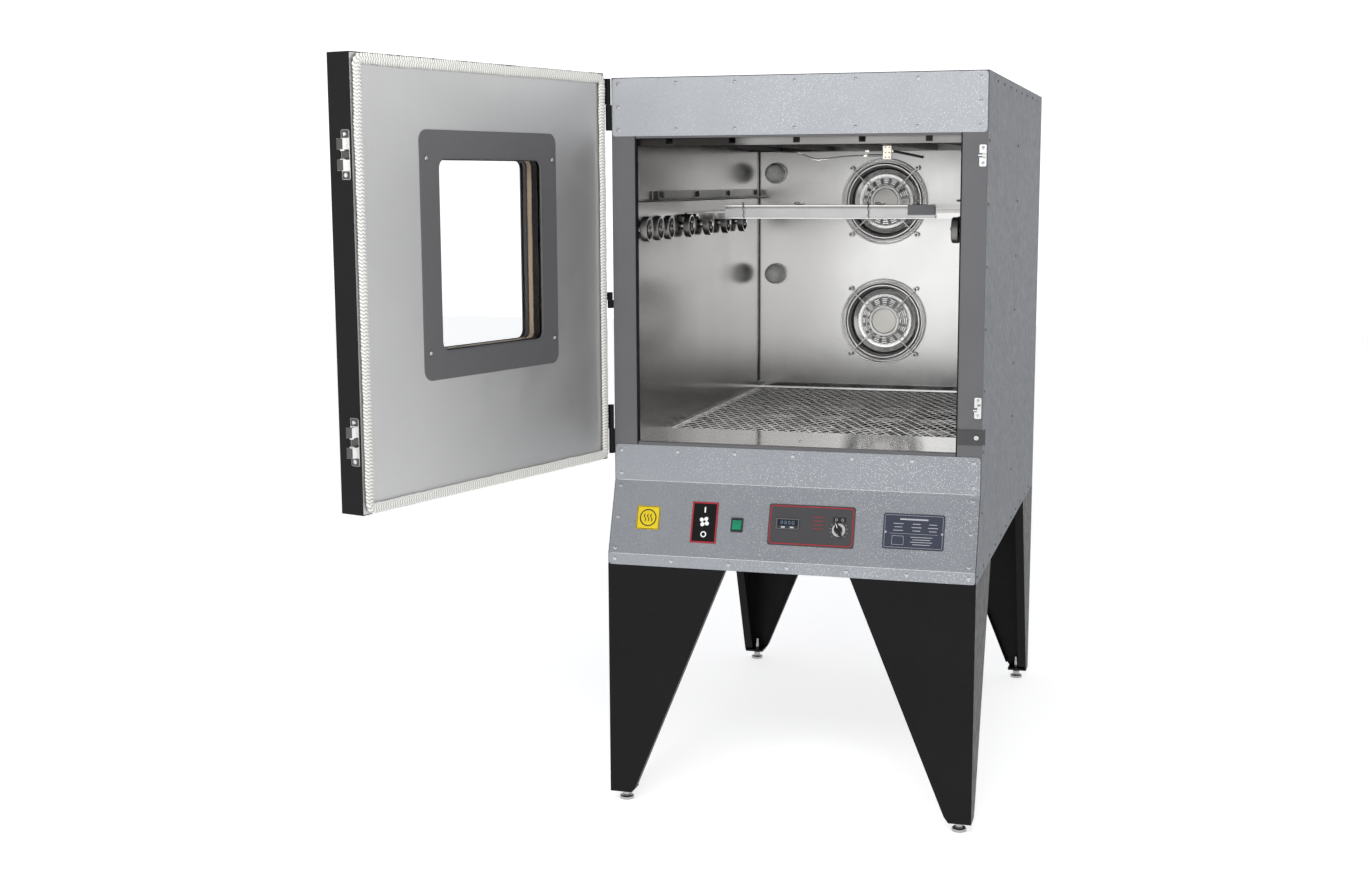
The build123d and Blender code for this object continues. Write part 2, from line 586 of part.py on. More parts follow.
BAR_LEFT = LEFT + 157.0
BAR_LENGTH = 515.0
BAR_LOW = 1342.5
BAR_HEIGHT = 34.0
BAR_DEPTH = 13.0
bar_back = CARRIER_FRONT - 0.2
with BuildPart() as carrier_bar:
    # channel lying on its back: its web on the carrier's front edge, its lips to the front
    bar_outline = [
        (bar_back - BAR_DEPTH, BAR_LOW),
        (bar_back, BAR_LOW),
        (bar_back, BAR_LOW + BAR_HEIGHT),
        (bar_back - BAR_DEPTH, BAR_LOW + BAR_HEIGHT),
    ]
    with BuildSketch(Plane.YZ.offset(BAR_LEFT)):
        with BuildLine():
            Polyline(*bar_outline)
            offset(amount=2, side=Side.LEFT)
        make_face()
    extrude(amount=BAR_LENGTH)
    # grip block in the bar's right end
    with BuildSketch(front_plane(bar_back - 1.5)):
        with Locations((BAR_LEFT + BAR_LENGTH - 34, BAR_LOW + BAR_HEIGHT - 10.5)):
            RectangleRounded(64, 23, 3)
    extrude(amount=BAR_DEPTH + 2)
    # spring wire clips hooked over the bar
    for clip_x in (BAR_LEFT + 44, BAR_LEFT + 352):
        with BuildLine():
            clip_path = FilletPolyline(
                (clip_x, bar_back - 4, BAR_LOW + BAR_HEIGHT - 1),
                (clip_x, bar_back - 4, BAR_LOW + BAR_HEIGHT + 6),
                (clip_x + 2, bar_back - BAR_DEPTH - 3.4, BAR_LOW + BAR_HEIGHT + 6),
                (clip_x + 5, bar_back - BAR_DEPTH - 3.4, BAR_LOW + 1),
                radius=2.5,
            )
        with BuildSketch(Plane(origin=clip_path @ 0, z_dir=clip_path % 0)):
            Circle(1.2)
        sweep(path=clip_path)
carrier_bar.part.label = "carrier_bar"
export_step(carrier_bar.part, "parts/carrier_bar.step")

# ================= Fans =================

WIRE = 1.6
with BuildPart() as fan_inlets:
    for height in FAN_HEIGHTS:
        # rolled venturi ring, from its flange on the wall to its throat
        with BuildSketch(Plane.YZ.offset(MIDDLE)):
            with BuildLine():
                Polyline(
                    (CHAMBER_BACK - 0.2, height + 108),
                    (CHAMBER_BACK - 7, height + 104),
                    (CHAMBER_BACK - 7, height + 99),
                    (CHAMBER_BACK + 8, height + 94.5),
                    (CHAMBER_BACK + 8, height + 96),
                    (CHAMBER_BACK + 2, height + 99),
                    (CHAMBER_BACK - 0.2, height + 100),
                    close=True,
                )
            make_face()
        revolve(axis=Axis((MIDDLE, 0, height), (0, 1, 0)))
        # finger guard: rings and four spokes of round wire, on standing eyelets
        guard_y = CHAMBER_BACK - 16
        for ring in (118, 111, 46):
            with BuildSketch(Plane.YZ.offset(MIDDLE)):
                with Locations((guard_y, height + ring)):
                    Circle(WIRE)
            revolve(axis=Axis((MIDDLE, 0, height), (0, 1, 0)))
        for turn in (45, 135, 225, 315):
            spoke = Plane(
                origin=(MIDDLE, guard_y - 2 * WIRE + 0.6, height),
                x_dir=(cos(radians(turn)), 0, sin(radians(turn))),
                z_dir=(0, -1, 0),
            )
            start = spoke.from_local_coords(Vector(44, 0, 0))
            with BuildSketch(Plane(origin=start, z_dir=spoke.x_dir)):
                Circle(WIRE)
            extrude(amount=GUARD_SCREW * 2**0.5 - 44)
        with BuildSketch(front_plane(guard_y - 5)):
            with Locations((MIDDLE, height)):
                with GridLocations(2 * GUARD_SCREW, 2 * GUARD_SCREW, 2, 2):
                    Circle(6)
        extrude(amount=-20.8)
fan_inlets.part.label = "fan_inlets"
export_step(fan_inlets.part, "parts/fan_inlets.step")

WHEEL_RADIUS = 90.0
SHAFT_RADIUS = 6.0
WHEEL_FRONT = CHAMBER_BACK + 10
for name, height in zip(FAN_NAMES, FAN_HEIGHTS):
    wheel_axis = Axis((MIDDLE, 0, height), (0, 1, 0))
    with BuildPart() as fan_wheel:
        # back disc dished forwards to a flat centre cap
        with BuildSketch(Plane.YZ.offset(MIDDLE)):
            with BuildLine():
                Polyline(
                    (WHEEL_FRONT, height),
                    (WHEEL_FRONT, height + 34),
                    (WHEEL_FRONT + 6, height + 38),
                    (WHEEL_FRONT + 34, height + 66),
                    (WHEEL_FRONT + 34, height + WHEEL_RADIUS),
                    (WHEEL_FRONT + 36, height + WHEEL_RADIUS),
                    (WHEEL_FRONT + 36, height + 65),
                    (WHEEL_FRONT + 9, height + 37),
                    (WHEEL_FRONT + 9, height + 14),
                    (WHEEL_FRONT + 34, height + 14),
                    (WHEEL_FRONT + 34, height),
                    close=True,
                )
            make_face()
        revolve(axis=wheel_axis)
        # front shroud ring
        with BuildSketch(front_plane(WHEEL_FRONT + 4)):
            with Locations((MIDDLE, height)):
                Circle(WHEEL_RADIUS)
                Circle(74, mode=Mode.SUBTRACT)
        extrude(amount=-2)
        # forward-curved blades between the shroud and the back disc
        with BuildSketch(front_plane(WHEEL_FRONT + 4)):
            with Locations((MIDDLE, height)):
                with PolarLocations(81, 24):
                    with Locations(Rotation(0, 0, 35)):
                        Rectangle(17, 1.6)
        extrude(amount=-31)
        with BuildSketch(front_plane(WHEEL_FRONT + 9)):
            with Locations((MIDDLE, height)):
                Circle(SHAFT_RADIUS + 0.05)
        extrude(amount=-30, mode=Mode.SUBTRACT)
    fan_wheel.part.label = f"fan_wheel_{name}"
    export_step(fan_wheel.part, f"parts/fan_wheel_{name}.step")

MOTOR_FRONT = CHAMBER_BACK + 56
with BuildPart() as fan_motors:
    for height in FAN_HEIGHTS:
        with BuildSketch(front_plane(MOTOR_FRONT)):
            with Locations((MIDDLE, height)):
                RectangleRounded(230, 230, 12)
        extrude(amount=-2)
        with BuildSketch(front_plane(MOTOR_FRONT + 2)):
            with Locations((MIDDLE, height)):
                Circle(58)
        extrude(amount=-40)
        with BuildSketch(front_plane(MOTOR_FRONT)):
            with Locations((MIDDLE, height)):
                Circle(SHAFT_RADIUS)
        extrude(amount=MOTOR_FRONT - WHEEL_FRONT - 11)
        with BuildSketch(front_plane(MOTOR_FRONT)):
            with Locations((MIDDLE, height)):
                with GridLocations(200, 200, 2, 2):
                    Circle(6)
        extrude(amount=MOTOR_FRONT - CHAMBER_BACK - LINER)
fan_motors.part.label = "fan_motors"
export_step(fan_motors.part, "parts/fan_motors.step")

# ================= Lamps, probe =================

with BuildPart() as lamps:
    for height in LAMP_HEIGHTS:
        with BuildSketch(Plane.YZ.offset(LAMP_X)):
            with BuildLine():
                Polyline((CHAMBER_BACK + 20, height), (CHAMBER_BACK + 20, height + 18))
                Polyline(
                    (CHAMBER_BACK + 20, height + 18),
                    (CHAMBER_BACK, height + 18),
                    (CHAMBER_BACK, height + 32),
                    (CHAMBER_BACK - 12, height + 32),
                    (CHAMBER_BACK - 12, height + 27),
                    (CHAMBER_BACK - 30, height + 27),
                )
                TangentArc(
                    (CHAMBER_BACK - 30, height + 27), (CHAMBER_BACK - 57, height), tangent=(-1, 0)
                )
                Line((CHAMBER_BACK - 57, height), (CHAMBER_BACK + 20, height))
            make_face()
        revolve(axis=Axis((LAMP_X, 0, height), (0, 1, 0)))
lamps.part.label = "lamps"
export_step(lamps.part, "parts/lamps.step")

PROBE_X = LEFT + 552.0
PROBE_Y = FRONT + 419.0
with BuildPart() as temperature_probe:
    # ceramic terminal block hanging from the upper rack on a stem
    with BuildSketch(Plane.XY.offset(1484)):
        with Locations((PROBE_X, PROBE_Y)):
            RectangleRounded(21, 14, 2)
    extrude(amount=31)
    # the stem goes up through the gap between two trays to the chamber's ceiling
    with BuildSketch(Plane.XY.offset(1515)):
        with Locations((PROBE_X + 8, PROBE_Y)):
            Circle(2)
    extrude(amount=CHAMBER_HIGH - 1515)
    # black sensing rod to the right, two ceramic sleeves and a thin lead to the left
    rod_start = Vector(PROBE_X + 9, PROBE_Y, 1503)
    with BuildSketch(Plane(origin=rod_start, z_dir=(0.98, 0, -0.2))):
        Circle(3)
    extrude(amount=80)
    for sleeve_z, sleeve_length in ((1503, 44), (1493, 48)):
        with BuildSketch(Plane(origin=(PROBE_X - 9, PROBE_Y, sleeve_z), z_dir=(-1, 0, 0))):
            Circle(2.6)
        extrude(amount=sleeve_length)
    with BuildLine():
        lead = FilletPolyline(
            (PROBE_X - 56, PROBE_Y, 1493),
            (PROBE_X - 110, PROBE_Y, 1491),
            (PROBE_X - 172, PROBE_Y, 1482),
            (PROBE_X - 214, PROBE_Y, 1500),
            (PROBE_X - 274, PROBE_Y, 1503),
            radius=20,
        )
    with BuildSketch(Plane(origin=lead @ 0, z_dir=lead % 0)):
        Circle(1.0)
    sweep(path=lead)
temperature_probe.part.label = "temperature_probe"
export_step(temperature_probe.part, "parts/temperature_probe.step")

# ================= Legs and feet =================

LEG_TOP_WIDTH = 277.0
LEG_FOOT_WIDTH = 61.0
LEG_LOW = 25.0
LEG_SHEET = 3.0
FOOT_PLATE = 6.0
STUD_RADIUS = 5.0
LEG_HIGH = BASE
FRONT_FOOT_Y = 0.0
BACK_FOOT_Y = BACK - FOOT_INSET
slant = Vector(LEG_TOP_WIDTH - LEG_FOOT_WIDTH, LEG_HIGH - LEG_LOW - 14)
slant_in = Vector(-slant.Y, slant.X).normalized() * LEG_SHEET
taper_top = Vector(LEG_TOP_WIDTH, LEG_HIGH)
taper_low = Vector(LEG_FOOT_WIDTH, LEG_LOW + 14)
LEG_FACE = [
    (0, LEG_LOW),
    (LEG_FOOT_WIDTH - 10, LEG_LOW),
    (taper_low.X, taper_low.Y),
    (taper_top.X, taper_top.Y),
    (0, LEG_HIGH),
]
LEG_FLANGE = [
    (taper_low.X, taper_low.Y),
    (taper_top.X, taper_top.Y),
    (taper_top.X + slant_in.X, taper_top.Y),
    (taper_low.X + slant_in.X, taper_low.Y + slant_in.Y),
]
leg_front = FRONT - NOSE
with BuildPart() as legs:
    # front left leg: a tapered face to the front and another to the side, folded at the corner
    with BuildSketch(front_plane(leg_front)):
        Polygon(*[(LEFT + x, z) for x, z in LEG_FACE], align=None)
    extrude(amount=-LEG_SHEET)
    with BuildSketch(front_plane(leg_front)):
        Polygon(*[(LEFT + x, z) for x, z in LEG_FLANGE], align=None)
    extrude(amount=-22)
    with BuildSketch(Plane.YZ.offset(LEFT)):
        Polygon(*[(leg_front + x, z) for x, z in LEG_FACE], align=None)
    extrude(amount=LEG_SHEET)
    with BuildSketch(Plane.YZ.offset(LEFT)):
        Polygon(*[(leg_front + x, z) for x, z in LEG_FLANGE], align=None)
    extrude(amount=22)
    with BuildSketch(Plane.XY.offset(LEG_LOW)):
        with Locations((LEFT + 27.5, leg_front + 27.5)):
            Rectangle(49, 49)
        Circle(STUD_RADIUS + 0.06, mode=Mode.SUBTRACT)
    extrude(amount=FOOT_PLATE)
    # mounting flange under the base pan
    with BuildSketch(Plane.XY.offset(LEG_HIGH)):
        with Locations((LEFT + 60, leg_front + 60)):
            Rectangle(118, 118)
    extrude(amount=-LEG_SHEET)
    mirror(about=Plane.YZ.offset(MIDDLE))
    mirror(about=Plane.XZ.offset(-(leg_front + BACK) / 2))
legs.part.label = "legs"
export_step(legs.part, "parts/legs.step")

FEET = {
    "foot_front_left": (0.0, FRONT_FOOT_Y),
    "foot_front_right": (WIDTH - 2 * FOOT_INSET, FRONT_FOOT_Y),
    "foot_back_left": (0.0, BACK_FOOT_Y),
    "foot_back_right": (WIDTH - 2 * FOOT_INSET, BACK_FOOT_Y),
}
for foot_name, foot_spot in FEET.items():
    with BuildPart() as foot:
        with BuildSketch():
            with Locations(foot_spot):
                Circle(17)
        extrude(amount=9)
        fillet(foot.edges().group_by(Axis.Z)[-1], 4)
        fillet(foot.edges().group_by(Axis.Z)[0], 1)
        with BuildSketch(Plane.XY.offset(9)):
            with Locations(foot_spot):
                Circle(8)
        extrude(amount=4)
        with BuildSketch(Plane.XY.offset(13)):
            with Locations(foot_spot):
                RegularPolygon(9.8, 6)
        extrude(amount=6)
        with BuildSketch(Plane.XY.offset(19)):
            with Locations(foot_spot):
                Circle(STUD_RADIUS)
        extrude(amount=42)
    foot.part.label = foot_name
    export_step(foot.part, f"parts/{foot_name}.step")

# ================= Control panel devices =================

PLATE = 1.0
with BuildPart() as panel_plates:
    with BuildSketch(slope_plane()):
        with Locations((222, -91)):
            Rectangle(61, 94)
        with Locations((468.5, -86.5)):
            RectangleRounded(196, 93, 6)
        with Locations((TIMER[0], -TIMER[1])):
            Rectangle(*TIMER_CUT, mode=Mode.SUBTRACT)
        with Locations((SELECTOR[0], -SELECTOR[1])):
            Circle(SELECTOR_CUT, mode=Mode.SUBTRACT)
        with Locations((697, -88)):
            RectangleRounded(135, 79, 5)
        with Locations((88.5, -86.5)):
            RectangleRounded(55, 55, 2)
    extrude(amount=PLATE)
panel_plates.part.label = "panel_plates"
export_step(panel_plates.part, "parts/panel_plates.step")

ROCKER_WIDTH = 20.4
ROCKER_REACH = 11.6
PIVOT_DEPTH = 4.0
with BuildPart() as panel_devices:
    # rocker switch body with its bezel, hollow where the rocker sits
    with BuildSketch(slope_plane()):
        with Locations((SWITCH[0], -SWITCH[1])):
            RectangleRounded(28, 33, 2)
            Rectangle(ROCKER_WIDTH + 1, 2 * ROCKER_REACH + 2, mode=Mode.SUBTRACT)
    extrude(amount=2)
    with BuildSketch(slope_plane()):
        with Locations((SWITCH[0], -SWITCH[1])):
            Rectangle(SWITCH_CUT[0] - 0.4, SWITCH_CUT[1] - 0.4)
    extrude(amount=-32)
    with BuildSketch(slope_plane()):
        with Locations((SWITCH[0], -SWITCH[1])):
            Rectangle(ROCKER_WIDTH + 1, 2 * ROCKER_REACH + 2)
    extrude(amount=-18, mode=Mode.SUBTRACT)
    # timer: bezel on the overlay, body behind, a recess for the display and pockets for keys
    with BuildSketch(slope_plane(out=PLATE)):
        with Locations((TIMER[0], -TIMER[1])):
            RectangleRounded(52, 24, 1.5)
    extrude(amount=2.5)
    with BuildSketch(slope_plane(out=PLATE)):
        with Locations((TIMER[0], -TIMER[1])):
            Rectangle(TIMER_CUT[0] - 0.4, TIMER_CUT[1] - 0.4)
    extrude(amount=-36)
    with BuildSketch(slope_plane(out=PLATE + 2.5)):
        with Locations((TIMER[0], -TIMER[1] + 3)):
            Rectangle(44, 13)
    extrude(amount=-1.2, mode=Mode.SUBTRACT)
    with BuildSketch(slope_plane(out=PLATE + 2.5)):
        with Locations(*[(TIMER[0] + key, -TIMER[1] - 7.5) for key in KEY_OFFSETS]):
            Rectangle(KEY_SIZE[0] + 0.6, KEY_SIZE[1] + 0.6)
    extrude(amount=-4, mode=Mode.SUBTRACT)
    # selector: bright dial disc on the overlay and a contact block behind
    with BuildSketch(slope_plane(out=PLATE)):
        with Locations((SELECTOR[0], -SELECTOR[1])):
            Circle(15.5)
    extrude(amount=2)
    with BuildSketch(slope_plane(out=PLATE)):
        with Locations((SELECTOR[0], -SELECTOR[1])):
            Circle(SELECTOR_CUT - 0.2)
    extrude(amount=-30)
    with BuildSketch(slope_plane(out=PLATE + 2)):
        with Locations((SELECTOR[0], -SELECTOR[1])):
            Circle(3.1)
    extrude(amount=-14, mode=Mode.SUBTRACT)
panel_devices.part.label = "panel_devices"
export_step(panel_devices.part, "parts/panel_devices.step")

# The rocker: a drum about its pivot, cut to a shallow vee and resting tipped to one side
ROCKER_TIP = 8.0
switch_x = LEFT + SWITCH[0]
with BuildPart() as power_rocker:
    with BuildSketch(slope_section(switch_x - ROCKER_WIDTH / 2, SWITCH[1], 2 - PIVOT_DEPTH)):
        Circle(ROCKER_REACH)
        with Locations(Rotation(0, 0, -ROCKER_TIP)):
            Polygon((-20, 7.2), (0, 4.4), (20, 7.2), (20, 30), (-20, 30), align=None, mode=Mode.SUBTRACT)
    extrude(amount=ROCKER_WIDTH)
power_rocker.part.label = "power_rocker"
export_step(power_rocker.part, "parts/power_rocker.step")

for key_name, key_offset in zip(("left", "right"), KEY_OFFSETS):
    with BuildPart() as timer_key:
        with BuildSketch(slope_plane(out=PLATE + 0.8)):
            with Locations((TIMER[0] + key_offset, -TIMER[1] - 7.5)):
                RectangleRounded(*KEY_SIZE, 0.6)
        extrude(amount=2.9)
    timer_key.part.label = f"timer_key_{key_name}"
    export_step(timer_key.part, f"parts/timer_key_{key_name}.step")

KNOB_TURN = 22.0
with BuildPart() as selector_knob:
    with BuildSketch(slope_plane(out=PLATE + 2.3)):
        with Locations((SELECTOR[0], -SELECTOR[1])):
            Circle(9)
            with Locations(Rotation(0, 0, KNOB_TURN)):
                SlotOverall(31, 7, rotation=90)
    extrude(amount=11)
    fillet(selector_knob.edges().group_by(Axis(slope_plane().origin, SLOPE_NORMAL))[-1], 1.2)
    with BuildSketch(slope_plane(out=PLATE + 2.3)):
        with Locations((SELECTOR[0], -SELECTOR[1])):
            Circle(3.03)
    extrude(amount=-12)
selector_knob.part.label = "selector_knob"
export_step(selector_knob.part, "parts/selector_knob.step")

GLAND_BORE = 8.0
with BuildPart() as cable_gland:
    with BuildSketch(front_plane(BACK - 14)):
        with Locations((GLAND_X, GLAND_Z)):
            Circle(12)
    extrude(amount=-(14 + 8))
    with BuildSketch(front_plane(BACK)):
        with Locations((GLAND_X, GLAND_Z)):
            RegularPolygon(17, 6)
    extrude(amount=-8)
    with BuildSketch(front_plane(BACK + 8)):
        with Locations((GLAND_X, GLAND_Z)):
            Circle(15)
    extrude(amount=-16, taper=10)
    with BuildSketch(front_plane(BACK - SKIN)):
        with Locations((GLAND_X, GLAND_Z)):
            RegularPolygon(17, 6)
    extrude(amount=5)
    with BuildSketch(front_plane(BACK + 30)):
        with Locations((GLAND_X, GLAND_Z)):
            Circle(GLAND_BORE)
    extrude(amount=60, mode=Mode.SUBTRACT)
cable_gland.part.label = "cable_gland"
export_step(cable_gland.part, "parts/cable_gland.step")

# ================= Door =================

DOOR_MIDDLE = (DOOR_LOW + DOOR_HIGH) / 2
DOOR_HEIGHT = DOOR_HIGH - DOOR_LOW
DOOR_CENTRE = DOOR_WIDTH / 2
WINDOW_CUT = 12.0  # the sheet is cut this much larger than the clear window, each way


def window(extra, radius, mode=Mode.SUBTRACT):
    """The window's rounded outline, larger all round by half of extra."""
    with Locations((WINDOW_CENTRE, WINDOW_MIDDLE)):
        RectangleRounded(WINDOW_WIDTH + extra, WINDOW_HEIGHT + extra, radius, mode=mode)


with BuildPart() as door_shell:
    with BuildSketch(door_plane(DOOR_THICKNESS - SKIN)):
        with Locations((DOOR_CENTRE, DOOR_MIDDLE)):
            Rectangle(DOOR_WIDTH, DOOR_HEIGHT)
        window(WINDOW_CUT, 20)
    extrude(amount=SKIN)
    with BuildSketch(door_plane(0)):
        with Locations((DOOR_CENTRE, DOOR_MIDDLE)):
            Rectangle(DOOR_WIDTH, DOOR_HEIGHT)
            Rectangle(DOOR_WIDTH - 2 * SKIN, DOOR_HEIGHT - 2 * SKIN, mode=Mode.SUBTRACT)
    extrude(amount=DOOR_THICKNESS - SKIN)
    # tapped blocks inside the free edge take the catch screws
    for height in CATCH_HEIGHTS:
        with BuildSketch(door_edge(DOOR_WIDTH - SKIN, height)):
            with Locations((CATCH_DEPTH, 0)):
                Rectangle(18, 84)
        extrude(amount=6)
door_shell.part.label = "door_shell"
export_step(door_shell.part, "parts/door_shell.step")

with BuildPart() as door_liner:
    with BuildSketch(door_plane(0)):
        with Locations((DOOR_CENTRE, DOOR_MIDDLE)):
            Rectangle(DOOR_WIDTH - 2 * SKIN - 0.4, DOOR_HEIGHT - 2 * SKIN - 0.4)
        window(WINDOW_CUT, 20)
    extrude(amount=LINER)
door_liner.part.label = "door_liner"
export_step(door_liner.part, "parts/door_liner.step")

with BuildPart() as door_insulation:
    with BuildSketch(door_plane(2)):
        with Locations((DOOR_CENTRE, DOOR_MIDDLE)):
            Rectangle(DOOR_WIDTH - 24, DOOR_HEIGHT - 24)
        window(40, 24)
    extrude(amount=DOOR_THICKNESS - 6)
door_insulation.part.label = "door_insulation"
export_step(door_insulation.part, "parts/door_insulation.step")

# The window: two panes held apart by a rope-sealed spacer, between an inner and an outer trim
PANE = 5.0
with BuildPart() as window_panes:
    for depth in (3.0, DOOR_THICKNESS - 3.0 - PANE):
        with BuildSketch(door_plane(depth)):
            window(WINDOW_CUT - 0.6, 19, mode=Mode.ADD)
        extrude(amount=PANE)
window_panes.part.label = "window_panes"
export_step(window_panes.part, "parts/window_panes.step")

with BuildPart() as window_seal:
    with BuildSketch(door_plane(3.0 + PANE)):
        window(WINDOW_CUT - 0.6, 19, mode=Mode.ADD)
        window(-2, 14)
    extrude(amount=DOOR_THICKNESS - 2 * (3.0 + PANE))
window_seal.part.label = "window_seal"
export_step(window_seal.part, "parts/window_seal.step")

TRIM_WIDTH = 444.0
TRIM_HEIGHT = 493.0
TRIM_SCREWS = [
    (WINDOW_CENTRE + side * 206, WINDOW_MIDDLE + level * 191) for side in (-1, 1) for level in (-1, 1)
]
with BuildPart() as window_trims:
    for depth in (0.0, DOOR_THICKNESS + 2.0):
        with BuildSketch(door_plane(depth)):
            with Locations((WINDOW_CENTRE, WINDOW_MIDDLE)):
                RectangleRounded(TRIM_WIDTH, TRIM_HEIGHT, 22)
            window(0, 18)
        extrude(amount=-2)
    with BuildSketch(door_plane(-2)):
        with Locations(*TRIM_SCREWS):
            Circle(4)
    extrude(amount=-2, taper=25)
    with BuildSketch(door_plane(DOOR_THICKNESS + 2)):
        with Locations(*TRIM_SCREWS):
            Circle(4)
    extrude(amount=2, taper=25)
window_trims.part.label = "window_trims"
export_step(window_trims.part, "parts/window_trims.step")

GASKET_WIDTH = 18.0
GASKET_DEPTH = 9.6
GASKET_INSET = 11.5
gasket_corner = 20.0
with BuildPart() as gasket:
    gasket_edge = 2.5
    with BuildSketch(door_plane(-0.3 - GASKET_DEPTH)):
        with Locations((DOOR_CENTRE, DOOR_MIDDLE)):
            RectangleRounded(DOOR_WIDTH - 2 * gasket_edge, DOOR_HEIGHT + 1, gasket_corner)
            RectangleRounded(
                DOOR_WIDTH - 2 * gasket_edge - 2 * GASKET_WIDTH,
                DOOR_HEIGHT + 1 - 2 * GASKET_WIDTH,
                gasket_corner - GASKET_WIDTH + 4,
                mode=Mode.SUBTRACT,
            )
    extrude(amount=GASKET_DEPTH)
    inward = Axis(door_plane(0).origin, (DOOR_Y, -DOOR_X, 0))
    chamfer(gasket.edges().group_by(inward)[0], 3)
gasket.part.label = "gasket"
export_step(gasket.part, "parts/gasket.step")

# Pull handle on the outer face, near the free edge
HANDLE_U = 700.0
HANDLE_Z = 1234.0
HANDLE_REACH = 40.0
HANDLE_RISE = 75.0
with BuildPart() as door_handle:
    handle_base = door_plane(DOOR_THICKNESS, HANDLE_U)
    handle_foot = handle_base.from_local_coords(Vector(0, HANDLE_Z - HANDLE_RISE, 0))
    handle_section = Plane(origin=handle_foot, x_dir=handle_base.x_dir, z_dir=handle_base.z_dir)
    with BuildLine(Plane(origin=handle_foot, x_dir=handle_base.z_dir, z_dir=-handle_base.x_dir)):
        handle_path = FilletPolyline(
            (0, 0), (HANDLE_REACH, 0), (HANDLE_REACH, 2 * HANDLE_RISE), (0, 2 * HANDLE_RISE), radius=16
        )
    with BuildSketch(handle_section):
        Circle(8)
    sweep(path=handle_path)
    with BuildSketch(handle_section):
        Circle(15)
        with Locations((0, 2 * HANDLE_RISE)):
            Circle(15)
    extrude(amount=3)
door_handle.part.label = "door_handle"
export_step(door_handle.part, "parts/door_handle.step")

# ================= Hinges =================

LEAF = 2.5


def hinge_halves(low, high):
    """Where the cabinet's lower knuckle ends and the door's upper knuckle starts."""
    split = (low + high) / 2
    return split - 0.25, split + 0.25


with BuildPart() as cabinet_hinge_leaves:
    for low, high in HINGE_SPANS:
        lower_end = hinge_halves(low, high)[0]
        with BuildSketch(Plane.XY.offset(low)):
            with Locations((HINGE_X, HINGE_Y)):
                Circle(HINGE_RADIUS)
            with Locations((LEFT - LEAF / 2, HINGE_Y + 21)):
                Rectangle(LEAF, 42)
        extrude(amount=lower_end - low)
        with BuildSketch(Plane.XY.offset(lower_end)):
            with Locations((HINGE_X, HINGE_Y)):
                Circle(PIN_RADIUS)
        extrude(amount=high - lower_end)
cabinet_hinge_leaves.part.label = "cabinet_hinge_leaves"
export_step(cabinet_hinge_leaves.part, "parts/cabinet_hinge_leaves.step")

with BuildPart() as door_hinge_leaves:
    for low, high in HINGE_SPANS:
        upper_start = hinge_halves(low, high)[1]
        with BuildSketch(door_level(upper_start)):
            with Locations((-HINGE_TO_EDGE, HINGE_TO_FACE)):
                Circle(HINGE_RADIUS)
            with Locations((-LEAF / 2, HINGE_TO_FACE - 24)):
                Rectangle(LEAF, 48)
            with Locations((-HINGE_TO_EDGE, HINGE_TO_FACE)):
                Circle(PIN_RADIUS + 0.05, mode=Mode.SUBTRACT)
        extrude(amount=high - upper_start)
door_hinge_leaves.part.label = "door_hinge_leaves"
export_step(door_hinge_leaves.part, "parts/door_hinge_leaves.step")

# ================= Catches and strikes =================

CATCH_PLATE = 3.0
JAW_GAP = 19.0
JAW_HEIGHT = 20.0
JAW_DEPTH = 15.0
JAW_REACH = 15.0
JAW_BORE = 17.0
PLUNGER_TIP = 5.5  # how far each plunger's tip stays from the catch's middle
PLUNGER_LENGTH = 17.0
with BuildPart() as catch_bodies:
    for height in CATCH_HEIGHTS:
        outside = door_edge(DOOR_WIDTH, height)
        with BuildSketch(outside):
            with Locations((CATCH_DEPTH, 0)):
                RectangleRounded(20, 92, 2)
        extrude(amount=-CATCH_PLATE)
        # two jaws stand on the plate, each bored for a sprung plunger
        with BuildSketch(outside.offset(-CATCH_PLATE)):
            for side in (-1, 1):
                with Locations((CATCH_DEPTH, side * (JAW_GAP + JAW_HEIGHT) / 2)):
                    Rectangle(JAW_DEPTH, JAW_HEIGHT)
        extrude(amount=-JAW_REACH)
        for side in (-1, 1):
            bore = door_plane(CATCH_DEPTH, DOOR_WIDTH + CATCH_PLATE + JAW_REACH / 2).origin
            mouth = Plane(origin=(bore.X, bore.Y, height + side * JAW_GAP / 2), z_dir=(0, 0, side))
            with BuildSketch(mouth):
                Circle(PLUNGER_RADIUS + PLUNGER_FIT)
            extrude(amount=JAW_BORE, mode=Mode.SUBTRACT)
        with BuildSketch(outside.offset(-CATCH_PLATE)):
            with Locations((CATCH_DEPTH, 37.6), (CATCH_DEPTH, -37.6)):
                Circle(4)
        extrude(amount=-2, taper=25)
catch_bodies.part.label = "catch_bodies"
export_step(catch_bodies.part, "parts/catch_bodies.step")

for catch_name, height in zip(CATCH_NAMES, CATCH_HEIGHTS):
    for place, side in (("top", 1), ("bottom", -1)):
        stem = door_plane(CATCH_DEPTH, DOOR_WIDTH + CATCH_PLATE + JAW_REACH / 2).origin
        foot = Plane(origin=(stem.X, stem.Y, height + side * PLUNGER_TIP), z_dir=(0, 0, side))
        with BuildPart() as catch_plunger:
            with BuildSketch(foot):
                Circle(PLUNGER_RADIUS)
            extrude(amount=PLUNGER_LENGTH)
            fillet(catch_plunger.edges().group_by(Axis.Z)[0 if side > 0 else -1], 3.5)
        catch_plunger.part.label = f"catch_plunger_{catch_name}_{place}"
        export_step(catch_plunger.part, f"parts/catch_plunger_{catch_name}_{place}.step")

